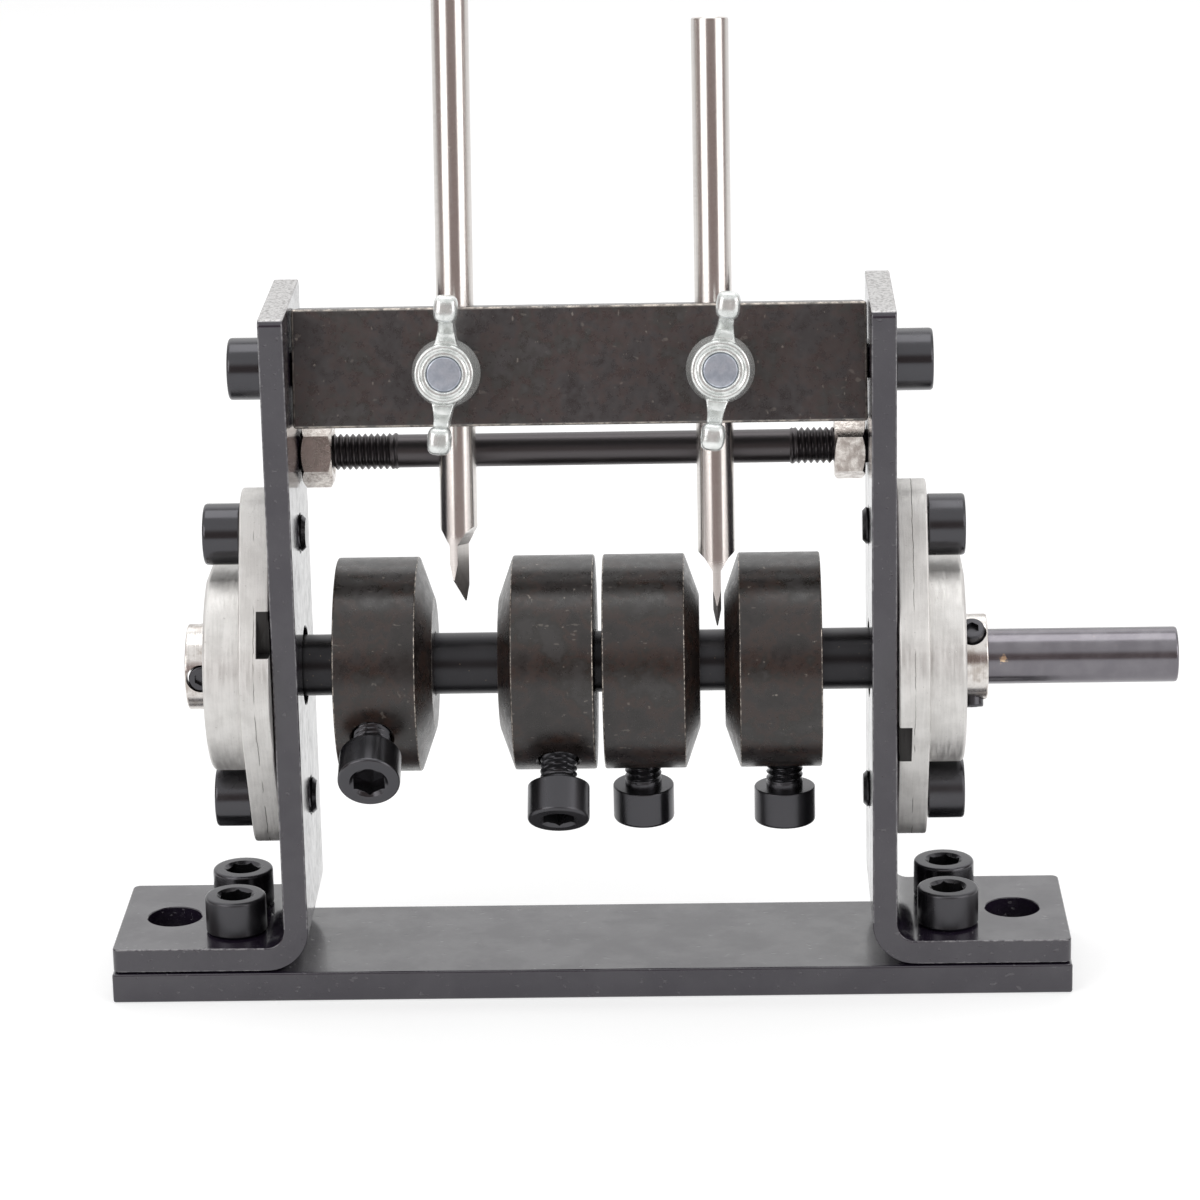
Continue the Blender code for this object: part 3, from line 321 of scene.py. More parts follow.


# Cast zinc, streaked along the shaft, with pits, a broken parting line round the flange and painted shade
# in the slots
def castZinc():
    look = dict(light=paint(0.77, 0.755, 0.735), dull=paint(0.60, 0.585, 0.565),
                stain=paint(0.17, 0.16, 0.15), slotShade=paint(0.030, 0.028, 0.027), roughness=0.36,
                roughRoughness=0.56, metal=0.60, specular=0.5, partingHeight=2.45, partingWander=0.5,
                partingWidth=0.09, partingCore=0.02, partingSeen=0.9, partingDepth=2.0, pitsSeen=0.35,
                cloudShare=0.3, streakShare=0.7, toneSpread=(0.2, 0.75), streakHeight=1.5, slotFade=0.1,
                grainHeight=0.02)
    grains = dict(cloud=((0.22, 5.0, 0.6), (0.3, 0.7)), streaks=(0.5, 4.0, 0.6, (0.35, 0.35, 5.0)),
                  pits=((2.4, 3.0, 0.6), (0.66, 0.74)), wander=(0.3, 3.0, 0.6),
                  brokenLine=((0.14, 2.0, 0.5), (0.47, 0.54)), surface=(3.2, 4.0, 0.65))
    finish = Finish("cast zinc", "cast_zinc")
    cloud = finish.patches(*grains["cloud"])
    streaks = finish.grain.noise(*grains["streaks"])
    pits = finish.patches(*grains["pits"])
    wander = (finish.grain.noise(*grains["wander"]) - 0.5) * look["partingWander"]
    offset = finish.place.part(2) - look["partingHeight"] + wander
    line = abs(offset).ramped(look["partingWidth"], look["partingCore"])
    line = line * finish.patches(*grains["brokenLine"])
    tone = (cloud * look["cloudShare"] + streaks * look["streakShare"]).ramped(*look["toneSpread"])
    tone = tone.blended(look["dull"], look["light"])
    high, wide, out = (finish.place.part(axis) for axis in range(3))
    # painted shade: the insides of the slots are painted near black
    halfSlot, deep, fade = housing["slotHeight"] / 2, housing["slotDepth"], look["slotFade"]
    inSlot = abs(abs(high) - housing["slotRise"]).ramped(halfSlot + fade, halfSlot)
    inSlot = inSlot * (high * wide).ramped(0, -1) * out.ramped(deep + 2 * fade, deep + fade)
    soiled = (pits * look["pitsSeen"] + line * look["partingSeen"]).least(1.0)
    grain = finish.grain.noise(*grains["surface"])
    height = grain + streaks * look["streakHeight"] - pits - line * look["partingDepth"]
    finish.set(colour=inSlot.blended(soiled.blended(tone, look["stain"]), look["slotShade"]),
               roughness=streaks.ramped(*grainSpread, look["roughness"], look["roughRoughness"]),
               metallic=look["metal"], specular=look["specular"],
               normal=finish.bump(height, look["grainHeight"]))
    return finish


# Ground rod with fine lines and bands, duller on the knife
def groundRodSteel():
    look = dict(light=paint(0.74, 0.71, 0.685), dark=paint(0.62, 0.59, 0.565), roughness=0.17,
                streakRoughness=0.25, markRoughness=0.1, knifeRoughness=0.20, marksSeen=0.5,
                lineShare=0.6, ringShare=0.4, lineHeight=0.5, grainHeight=0.0012)
    grains = dict(lines=(2.2, 4.0, 0.7, (1, 1, 0.03)), rings=(1.0, 3.0, 0.6, (0.1, 0.1, 6.0)),
                  marks=((0.9, 3.0, 0.6, (1, 1, 0.6)), (0.70, 0.78)))
    finish = Finish("ground rod steel", "ground_steel")
    lines = finish.grain.noise(*grains["lines"])
    rings = finish.grain.noise(*grains["rings"])
    marks = finish.patches(*grains["marks"])
    tone = (lines * look["lineShare"] + rings * look["ringShare"]).ramped(*grainSpread)
    knife = finish.place.part(2).ramped(blade["knife"] + blade["taper"], blade["knife"])
    roughness = tone.ramped(0.0, 1.0, look["streakRoughness"], look["roughness"])
    roughness = roughness + marks * look["markRoughness"] + knife * look["knifeRoughness"]
    finish.set(colour=(tone - marks * look["marksSeen"]).blended(look["dark"], look["light"]),
               roughness=roughness, metallic=1.0,
               normal=finish.bump(rings + lines * look["lineHeight"], look["grainHeight"]))
    return finish


def turnedRingSteel():
    look = dict(light=paint(0.72, 0.69, 0.665), dark=paint(0.46, 0.415, 0.38), roughness=0.17, dull=0.26,
                cloudShare=0.8, turningShare=0.2, toneSpread=(0.38, 0.58), grainHeight=0.001)
    grains = dict(turning=(1.2, 3.0, 0.6, (0.12, 0.12, 4.0)), cloud=(0.35, 4.0, 0.6))
    finish = Finish("turned ring steel", "ground_steel")
    turning = finish.grain.noise(*grains["turning"])
    cloud = finish.grain.noise(*grains["cloud"])
    tone = (cloud * look["cloudShare"] + turning * look["turningShare"]).ramped(*look["toneSpread"])
    finish.set(colour=tone.blended(look["dark"], look["light"]),
               roughness=turning.ramped(*grainSpread, look["roughness"], look["dull"]),
               metallic=1.0, normal=finish.bump(turning, look["grainHeight"]))
    return finish


def brightZinc(name, shade, pale, roughness, metallic, grainHeight=0.018):
    look = dict(dullness=0.14, specular=0.8, pitsSeen=0.6, pitDepth=0.8)
    grains = dict(cloud=((0.6, 5.0, 0.65), (0.3, 0.72)), rough=(2.6, 4.0, 0.7),
                  pits=((2.0, 3.0, 0.6), (0.66, 0.76)))
    finish = Finish(name, "zinc_plated_steel")
    cloud = finish.patches(*grains["cloud"])
    rough = finish.grain.noise(*grains["rough"])
    pits = finish.patches(*grains["pits"])
    finish.set(colour=(cloud - pits * look["pitsSeen"]).blended(shade, pale),
               roughness=cloud.ramped(0.0, 1.0, roughness + look["dullness"], roughness),
               metallic=metallic, specular=look["specular"],
               normal=finish.bump(rough - pits * look["pitDepth"], grainHeight))
    return finish


def sealRubber():
    look = dict(colour=paint(0.020, 0.020, 0.022), dust=paint(0.06, 0.058, 0.055), roughness=0.55,
                dustRoughness=0.8, grainHeight=0.01)
    grains = dict(dust=((0.8, 4.0, 0.7), (0.5, 0.8, 0, 0.6)), surface=(3.0, 3.0, 0.6))
    finish = Finish("seal rubber", "seal_rubber")
    dust = finish.patches(*grains["dust"])
    surface = finish.grain.noise(*grains["surface"])
    finish.set(colour=dust.blended(look["colour"], look["dust"]),
               roughness=dust.ramped(0, 1, look["roughness"], look["dustRoughness"]),
               metallic=0.0, normal=finish.bump(surface, look["grainHeight"]))
    return finish


# The shaft's blacking, grey on the drive stub and near black between the plates, with one bare spot beside
# the bearing
def shaftBlacking():
    look = dict(black=paint(0.040, 0.039, 0.042), grey=paint(0.175, 0.165, 0.182),
                pale=paint(0.205, 0.195, 0.212), bare=paint(0.82, 0.62, 0.42), roughness=0.30,
                greyRoughness=0.20, patchRoughness=0.05, metal=0.9, specular=0.5, grainHeight=0.004,
                specksSeen=0.35, stubStart=64.0, stubFade=0.6, spot=(67.6, -4.3, 0.9), spotRadius=0.32,
                spotFade=0.35, spotRagged=2.2)
    grains = dict(patches=((0.3, 4.0, 0.6), (0.35, 0.7)), fine=(1.2, 4.0, 0.7, (0.3, 1, 1)),
                  ragged=(2.5, 4.0, 0.7), specks=((2.2, 3.0, 0.6), (0.70, 0.78)))
    finish = Finish("shaft blacking", "blackened_steel")
    along = finish.place.part(0)
    patches = finish.patches(*grains["patches"])
    fine = finish.grain.noise(*grains["fine"])
    stub = along.ramped(look["stubStart"], look["stubStart"] + look["stubFade"])
    away = finish.place.moved([-value for value in look["spot"]])
    ragged = finish.grain.noise(*grains["ragged"]) - 0.5
    spot = away.length() + ragged * look["spotRagged"]
    spot = spot.ramped(look["spotRadius"] + look["spotFade"], look["spotRadius"])
    specks = finish.patches(*grains["specks"]) * look["specksSeen"]
    tone = stub.blended(look["black"], patches.blended(look["grey"], look["pale"]))
    finish.set(colour=(spot + specks).least(1.0).blended(tone, look["bare"]),
               roughness=stub.ramped(0, 1, look["roughness"], look["greyRoughness"])
               + patches * look["patchRoughness"],
               metallic=look["metal"], specular=look["specular"],
               normal=finish.bump(fine, look["grainHeight"]))
    return finish


# Shapes

# Rounds each corner that is given with a third value, by that distance along both sides
def softened(points, steps=4):
    made = []
    for index, point in enumerate(points):
        if len(point) < 3:
            made.append(tuple(point))
            continue
        corner = Vector(point[:2])
        before = Vector(points[index - 1][:2]) - corner
        after = Vector(points[(index + 1) % len(points)][:2]) - corner
        start = corner + before.normalized() * point[2]
        end = corner + after.normalized() * point[2]
        for step in range(steps + 1):
            share = step / steps
            middle = start.lerp(corner, share)
            made.append(tuple(middle.lerp(corner.lerp(end, share), share)))
    return made


# Rows of a screw thread from one height down to another, each (radius, height, depth of thread)
def threadRows(radius, top, bottom, pitch, depth, rowsPerTurn=8):
    count = max(2, round((top - bottom) / pitch * rowsPerTurn))
    rows = []
    for step in range(count + 1):
        height = top + (bottom - top) * step / count
        fromEnd = min(top - height, height - bottom)
        rows.append((radius, height, depth * min(1, fromEnd / pitch)))
    return rows


# 0 on a thread's crest and 1 at its root, with a short flat on both
def threadShare(height, around, pitch, flat=0.12):
    turn = (height / pitch - around / math.tau) % 1
    return min(1, max(0, (1 - abs(2 * turn - 1) - flat) / (1 - 2 * flat)))


# A turned solid. Points run down the outer side, as (radius, height) or (radius, height, thread depth).
def turned(points, steps=96, ring=False, pitch=1.0):
    shape = bmesh.new()
    rows = []
    for point in points:
        radius, height = point[:2]
        depth = point[2] if len(point) > 2 else 0
        if radius < nearby:
            rows.append([shape.verts.new((0, 0, height))])
            continue
        row = []
        for step in range(steps):
            around = math.tau * step / steps
            reach = radius - depth * threadShare(height, around, pitch)
            row.append(shape.verts.new((reach * math.cos(around), reach * math.sin(around), height)))
        rows.append(row)
    pairs = list(zip(rows, rows[1:]))
    if ring:
        pairs.append((rows[-1], rows[0]))
    for upper, lower in pairs:
        for step in range(steps):
            after = (step + 1) % steps
            if len(upper) == 1 and len(lower) == 1:
                continue
            if len(upper) == 1:
                shape.faces.new((upper[0], lower[step], lower[after]))
            elif len(lower) == 1:
                shape.faces.new((upper[step], lower[0], upper[after]))
            else:
                shape.faces.new((upper[step], lower[step], lower[after], upper[after]))
    bmesh.ops.recalc_face_normals(shape, faces=shape.faces)
    return shape


def arc(centre, radius, start, end, steps):
    points = []
    for step in range(steps + 1):
        angle = math.radians(start + (end - start) * step / steps)
        points.append((centre[0] + radius * math.cos(angle), centre[1] + radius * math.sin(angle)))
    return points


# A flat outline raised from one height to another
def raised(outline, low, high):
    shape = bmesh.new()
    lower = [shape.verts.new((across, along, low)) for across, along in outline]
    upper = [shape.verts.new((across, along, high)) for across, along in outline]
    shape.faces.new(lower)
    shape.faces.new(upper)
    for index in range(len(outline)):
        after = (index + 1) % len(outline)
        shape.faces.new((lower[index], lower[after], upper[after], upper[index]))
    bmesh.ops.recalc_face_normals(shape, faces=shape.faces)
    return shape


# Breaks every edge whose faces turn by more than a number of degrees, or those of them that keep() picks
def eased(shape, width, segments=3, keep=None, turn=35):
    sharp = []
    for edge in shape.edges:
        if len(edge.link_faces) == 2 and edge.calc_face_angle() > math.radians(turn):
            if keep is None or keep(edge):
                sharp.append(edge)
    bmesh.ops.bevel(shape, geom=sharp, offset=width, segments=segments, profile=0.5, affect="EDGES",
                    clamp_overlap=True)
    return shape


def moved(shape, matrix):
    bmesh.ops.transform(shape, matrix=matrix, verts=shape.verts)
    return shape


def temporary(shape):
    mesh = bpy.data.meshes.new("temporary")
    shape.to_mesh(mesh)
    shape.free()
    item = bpy.data.objects.new("temporary", mesh)
    bpy.context.scene.collection.objects.link(item)
    return item


# One shape less others that don't touch one another, or with the operation UNION or INTERSECT
def combined(shape, others, operation="DIFFERENCE"):
    together = bmesh.new()
    for other in others:
        mesh = bpy.data.meshes.new("temporary")
        other.to_mesh(mesh)
        other.free()
        together.from_mesh(mesh)
        bpy.data.meshes.remove(mesh)
    main = temporary(shape)
    tool = temporary(together)
    boolean = main.modifiers.new("boolean", "BOOLEAN")
    boolean.operation = operation
    boolean.solver = "EXACT"
    boolean.object = tool
    graph = bpy.context.evaluated_depsgraph_get()
    result = bmesh.new()
    mesh = bpy.data.meshes.new_from_object(main.evaluated_get(graph))
    result.from_mesh(mesh)
    bpy.data.meshes.remove(mesh)
    for item in (main, tool):
        mesh = item.data
        bpy.data.objects.remove(item)
        bpy.data.meshes.remove(mesh)
    return result


def towards(direction):
    return Vector(direction).to_track_quat("Z", "Y").to_matrix().to_4x4()


# A cutter for a round hole whose faces lie at two distances from the start, broken by a small flare.
# A blind one ends in a cone.
def drill(radius, start, direction, low, high, flare=0.15, steps=48, blind=False, coneShare=0.4):
    wide = radius + flare
    points = [(0, high + beyond), (wide + beyond, high + beyond), (wide, high), (radius, high - flare)]
    if blind:
        points += [(radius, low + radius * coneShare), (0, low)]
    else:
        points += [(radius, low + flare), (wide, low), (wide + beyond, low - beyond), (0, low - beyond)]
    return moved(turned(points, steps), Matrix.Translation(start) @ towards(direction))


def hexPrism(width, low, high, corner=90):
    outline = arc((0, 0), width / 2 / math.cos(math.radians(30)), corner, corner + 300, 5)
    return raised(outline, low, high)


# Makes the piece that stands for a CAD node. The placement's lengths are in millimetres.
def makePiece(node, shape, placement, finish, sharpAngle=38, weighted=True):
    mesh = bpy.data.meshes.new(node + "_fine")
    shape.to_mesh(mesh)
    shape.free()
    mesh.transform(Matrix.Scale(mm, 4))
    mesh.shade_smooth()
    mesh.set_sharp_from_angle(angle=math.radians(sharpAngle))
    piece = bpy.data.objects.new(node + "_fine", mesh)
    bpy.context.scene.collection.objects.link(piece)
    spot = placement.copy()
    spot.translation = placement.translation * mm
    piece.matrix_world = spot
    piece.data.materials.append(finish.material)
    if weighted:
        normals = piece.modifiers.new("flat faces", "WEIGHTED_NORMAL")
        normals.keep_sharp = True
    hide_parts(node)
    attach(piece, bodyOf[node])
    return piece


def at(across, along, up):
    return Matrix.Translation((across, along, up))


# A turn about X, then Y, then Z, in degrees
def turnBy(x=0, y=0, z=0):
    return Euler([math.radians(angle) for angle in (x, y, z)]).to_matrix().to_4x4()


# Local Z away from the middle of the machine, local X up
def outward(side):
    return turnBy(0, -90, 0 if side < 0 else 180)


# Local Z away from the shaft, at an angle below the level line to the front
def radial(angle):
    return turnBy(90 + angle)


sides = (("left", -1), ("right", 1))
shaftHeight = middleOf("drive_shaft").z
shaftCentre = at(0, 0, shaftHeight)


# Screws

socketScrew = dict(headRadius=5.0, headHeight=6.0, rim=0.6, underside=0.25, socketWidth=5.0,
                   socketDepth=3.0, mouthRadius=2.6, mouthDepth=0.5, pointRadius=2.3, pointDepth=0.8,
                   radius=3.0, neck=0.9, neckRow=0.3, pitch=1.0, threadDepth=0.55, tip=0.6)
footScrewTurns = {("left", "front"): -3, ("left", "rear"): -23,
                  ("right", "front"): 71, ("right", "rear"): 51}


# Socket screw with its head's seat at the origin and its head up local Z
def socketScrewShape(length):
    size = socketScrew
    head, top, radius = size["headRadius"], size["headHeight"], size["radius"]
    points = softened([(0, top), (head, top, size["rim"]), (head, 0, size["underside"]), (radius, 0)])
    points += [(radius, -size["neck"] * size["neckRow"])]
    points += threadRows(radius, -size["neck"], size["tip"] - length, size["pitch"], size["threadDepth"])
    points += [(radius - size["tip"], -length), (0, -length)]
    screw = turned(points, steps=48, pitch=size["pitch"])
    floor = top - size["socketDepth"]
    socket = hexPrism(size["socketWidth"], floor, top + beyond)
    mouth, mouthDepth, pointRadius = size["mouthRadius"], size["mouthDepth"], size["pointRadius"]
    countersink = turned([(0, top + beyond), (mouth + mouthDepth + beyond, top + beyond),
                          (mouth, top - mouthDepth), (0, top - mouthDepth)], steps=48)
    point = turned([(0, floor + beyond / 2), (pointRadius, floor + beyond / 2), (pointRadius, floor),
                    (0, floor - size["pointDepth"])], steps=48)
    for cutter in (socket, countersink, point):
        screw = combined(screw, [cutter])
    return screw


def placeSocketScrews(finish):
    size = socketScrew
    for name, side in sides:
        for end in ("front", "rear"):
            node = name + "_" + end + "_foot_screw"
            low, high = boxOf(node)
            seat = high.z - size["headHeight"]
            middle = (low + high) / 2
            spot = at(middle.x, middle.y, seat) @ turnBy(z=footScrewTurns[name, end])
            makePiece(node, socketScrewShape(seat - low.z), spot, finish)
        for node in (name + "_bar_screw", name + "_upper_flange_screw", name + "_lower_flange_screw"):
            low, high = boxOf(node)
            middle = (low + high) / 2
            length = high.x - low.x - size["headHeight"]
            seat = (high.x if side > 0 else -low.x) - size["headHeight"]
            spot = at(side * seat, middle.y, middle.z) @ outward(side)
            makePiece(node, socketScrewShape(length), spot, finish)


# Base plate and brackets

basePlate = dict(edge=0.4, benchHole=4.5, benchInset=8.7, screwHole=3.3, holeFlare=0.2)
bentPlate = dict(thickness=4.0, footBottom=5.3, bendRadius=3.0, outerBendSteps=14, innerBendSteps=10,
                 corner=1.2, cornerSteps=5, edge=0.28, shaftHole=6.5, screwHole=3.3, tieHole=3.25)


def footScrewSpots(side):
    name = "left" if side < 0 else "right"
    spots = [middleOf(name + "_" + end + "_foot_screw") for end in ("front", "rear")]
    return [(spot.x, spot.y) for spot in spots]


def benchHoleX(side):
    name = "left" if side < 0 else "right"
    low, high = boxOf(name + "_bracket")
    end = high.x if side > 0 else -low.x
    return side * (end - basePlate["benchInset"])


def buildBase(finish):
    size = basePlate
    low, high = boxOf("base_plate")
    outline = [(low.x, low.y), (high.x, low.y), (high.x, high.y), (low.x, high.y)]
    base = eased(raised(outline, low.z, high.z), size["edge"])
    drills = []
    for name, side in sides:
        spots = [(benchHoleX(side), 0, size["benchHole"])]
        spots += [(across, along, size["screwHole"]) for across, along in footScrewSpots(side)]
        for across, along, radius in spots:
            drills.append(drill(radius, (across, along, 0), (0, 0, 1), low.z, high.z, size["holeFlare"]))
    makePiece("base_plate", combined(base, drills), at(0, 0, 0), finish)


def buildBracket(name, side, finish):
    size = bentPlate
    low, high = boxOf(name + "_bracket")
    thick = size["thickness"]
    inner = -high.x if side < 0 else low.x
    outer = inner + thick
    end = -low.x if side < 0 else high.x
    foot = size["footBottom"]
    bend = size["bendRadius"]
    bendCentre = (outer + bend, foot + thick + bend)
    section = arc(bendCentre, bend + thick, 270, 180, size["outerBendSteps"])
    section += [(inner, high.z), (outer, high.z)]
    section += arc(bendCentre, bend, 180, 270, size["innerBendSteps"])
    section += [(end, foot + thick), (end, foot)]
    plate = raised([(side * across, up) for across, up in section], -high.y, -low.y)
    corners = []
    for edge in plate.edges:
        first, second = (corner.co for corner in edge.verts)
        atTop = min(first.y, second.y) > high.z - nearby
        atEnd = min(side * first.x, side * second.x) > end - nearby
        if (atTop or atEnd) and abs(first.z - second.z) < nearby:
            corners.append(edge)
    bmesh.ops.bevel(plate, geom=corners, offset=size["corner"], segments=size["cornerSteps"], profile=0.5,
                    affect="EDGES", clamp_overlap=True)
    plate = eased(plate, size["edge"])
    bmesh.ops.recalc_face_normals(plate, faces=plate.faces)
    plate = moved(plate, turnBy(90))
    through = [(0, shaftHeight, size["shaftHole"])]
    for screw in ("_upper_flange_screw", "_lower_flange_screw", "_bar_screw"):
        spot = middleOf(name + screw)
        through.append((spot.y, spot.z, size["screwHole"]))
    tie = middleOf("tie_rod")
    through.append((tie.y, tie.z, size["tieHole"]))
    drills = [drill(radius, (0, along, up), (side, 0, 0), inner, outer) for along, up, radius in through]
    down = [(benchHoleX(side), 0, basePlate["benchHole"])]
    down += [(across, along, size["screwHole"]) for across, along in footScrewSpots(side)]
    for across, along, radius in down:
        drills.append(drill(radius, (across, along, 0), (0, 0, 1), foot, foot + thick))
    makePiece(name + "_bracket", combined(plate, drills), at(0, 0, 0), finish)


# Blade bar, blades and wing screws, which lean back together about the end screws

bladeBar = dict(lean=12, length=91.4, depth=12.0, height=19.0, edge=0.5, bladeHole=3.3, bladeHoleFlare=0.3,
                clampHole=3.3, clampDrop=0.8, endHole=3.3, endHoleDepth=13.0)
leaning = at(0, 0, middleOf("left_bar_screw").z) @ turnBy(-bladeBar["lean"])
bladeSpots = {name: (side, middleOf(name + "_blade").x) for name, side in sides}
clampSpots = {name: middleOf(name + "_clamp_stud").x for name, side in sides}


def buildBar(finish):
    size = bladeBar
    half = (size["length"] / 2, size["depth"] / 2, size["height"] / 2)
    outline = [(-half[0], -half[1]), (half[0], -half[1]), (half[0], half[1]), (-half[0], half[1])]
    bar = eased(raised(outline, -half[2], half[2]), size["edge"])
    endHoleFloor = half[0] - size["endHoleDepth"]
    holes = []
    for side, across in bladeSpots.values():
        holes.append(drill(size["bladeHole"], (across, 0, 0), (0, 0, 1), -half[2], half[2],
                           size["bladeHoleFlare"]))
        holes.append(drill(size["endHole"], (0, 0, 0), (side, 0, 0), endHoleFloor, half[0], blind=True))
    bar = combined(bar, holes)
    clamps = []
    for across in clampSpots.values():
        spot = (across, 0, -size["clampDrop"])
        clamps.append(drill(size["clampHole"], spot, (0, -1, 0), 0, half[1], blind=True))
    makePiece("crossbar", combined(bar, clamps), leaning, finish)


blade = dict(radius=3.0, length=97.3, chamfer=0.45, drop={"left": 38.0, "right": 42.6}, knife=9.3,
             knifeThickness=1.3, taper=2.0, shoulder=1.1, slant=32, grind=14, keenEdge=0.2,
             turns={"left": -15, "right": 0})


def buildBlade(name, finish):
    size = blade
    radius, top = size["radius"], size["length"]
    rod = turned(softened([(0, top), (radius, top, size["chamfer"]), (radius, 0), (0, 0)]), steps=72)
    taperTop = size["knife"] + size["taper"]
    wide = radius + 2 * beyond
    half = size["knifeThickness"] / 2
    flank = [(half, -beyond), (half, size["knife"]), (radius - size["shoulder"], taperTop),
             (wide, taperTop + size["shoulder"] + wide - radius), (wide + beyond, taperTop + beyond),
             (wide + beyond, -beyond)]
    flanks = []
    for side in (-1, 1):
        cutter = raised([(side * across, up) for across, up in flank], -wide, wide)
        flanks.append(moved(cutter, turnBy(90)))
    rod = combined(rod, flanks)
    reach = 4 * radius
    slant = at(0, radius, 0) @ Matrix.Rotation(math.radians(-size["slant"]), 4, "X")
    square = [(-reach, -2 * reach), (reach, -2 * reach), (reach, 2 * reach), (-reach, 2 * reach)]
    rod = combined(rod, [moved(raised(square, -reach, 0), slant)])
    for side in (-1, 1):
        waste = [(0, -2 * reach), (side * reach, -2 * reach), (side * reach, 2 * reach), (0, 2 * reach)]
        tilt = Matrix.Rotation(math.radians(side * size["grind"]), 4, "Y")
        facet = slant @ at(side * size["keenEdge"] / 2, 0, 0) @ tilt
        rod = combined(rod, [moved(raised(waste, -reach / 2, reach / 2), facet)])
    across = bladeSpots[name][1]
    turn = Matrix.Rotation(math.radians(size["turns"][name]), 4, "Z")
    makePiece(name + "_blade", rod, leaning @ at(across, 0, -size["drop"][name]) @ turn, finish,
              sharpAngle=30)


clampStud = dict(radius=3.0, frontRadius=2.75, frontLength=1.2, tipHeight=3.3, standoff=2.5, recess=0.2,
                 edge=0.3, tip=0.6, runout=0.2, pitch=1.0, threadDepth=0.5)
wingHead = dict(height=8.2, frontRadius=4.65, frontEdge=0.3, baseRadius=5.5, baseHeight=0.9, baseEdge=0.5,
                footInset=0.2, footEdge=0.3, lip=0.32, grooveRadius=3.75, grooveDepth=0.28, bore=3.15,
                mouth=2.8, mouthDepth=0.8, mouthFlare=0.25, earReach=10.3, earRise=10.5, earThickness=2.4,
                rootThickness=8.4, neckReach=8.5, neckSteps=12, tipRadius=2.2, tipInset=0.1, tipStart=-40,
                tipEnd=170, tipSteps=14, tipHalves=(1.9, 2.2, 2.2), tipPower=3.4,
                turns={"left": 3.7, "right": 7.4}, voxel=0.15, smoothing=0.5, smoothRounds=6)
earOuter = ((0.0, 0.07), (0.50, 0.11), (0.80, 0.27), (1.04, 0.57))
earInner = ((0.80, 0.90), (0.62, 0.69), (0.36, 0.58), (0.0, 0.58))


def buildClampStud(name, finish):
    size = clampStud
    front = bladeBar["depth"] / 2 + size["standoff"] + wingHead["height"] - size["recess"]
    shoulder, radius = front - size["frontLength"], size["frontRadius"]
    points = softened([(0, front), (radius, front, size["edge"]), (radius, shoulder)])
    points += threadRows(size["radius"], shoulder - size["runout"], size["tipHeight"] + size["tip"],
                         size["pitch"], size["threadDepth"])
    points += [(size["radius"] - size["tip"], size["tipHeight"]), (0, size["tipHeight"])]
    stud = turned(points, steps=64, pitch=size["pitch"])
    spot = leaning @ at(clampSpots[name], 0, -bladeBar["clampDrop"]) @ turnBy(90)
    makePiece(name + "_clamp_stud", stud, spot, finish)


# A ball pushed out towards the corners of the box that it fits
def pillow(halves, power):
    shape = bmesh.new()
    bmesh.ops.create_icosphere(shape, subdivisions=4, radius=1.0)
    for corner in shape.verts:
        reach = sum(abs(value) ** power for value in corner.co) ** (1 / power)
        corner.co = Vector([value / reach * half for value, half in zip(corner.co, halves)])
    return shape


# An ear's outline and, seen from above, its thickness, which flares where it leaves the hub
def wingEar(way):
    size = wingHead
    reach, rise = size["earReach"], size["earRise"]
    outer = [(reach * out, rise * up) for out, up in earOuter]
    inner = [(reach * out, rise * up) for out, up in earInner]
    tipRadius = size["tipRadius"] - size["tipInset"]
    tip = arc((reach, rise), tipRadius, size["tipStart"], size["tipEnd"], size["tipSteps"])
    outline = [(way * out, up) for out, up in outer + tip + inner]
    root, thin, steps = size["rootThickness"], size["earThickness"], size["neckSteps"]
    ear = raised(outline, -root / 2, root / 2)
    ear = moved(ear, Matrix.Rotation(math.pi / 2, 4, "Z") @ Matrix.Rotation(math.pi / 2, 4, "X"))
    flank = []
    for step in range(steps + 1):
        half = (thin + (root - thin) * (1 - step / steps) ** 2) / 2
        flank.append((size["neckReach"] * step / steps, half))
    flank.append((reach + 2 * size["tipRadius"], thin / 2))
    taper = [(-half, way * out) for out, half in flank]
    taper += [(half, way * out) for out, half in reversed(flank)]
    return combined(ear, [raised(taper, -rise, 2 * rise)], "INTERSECT")


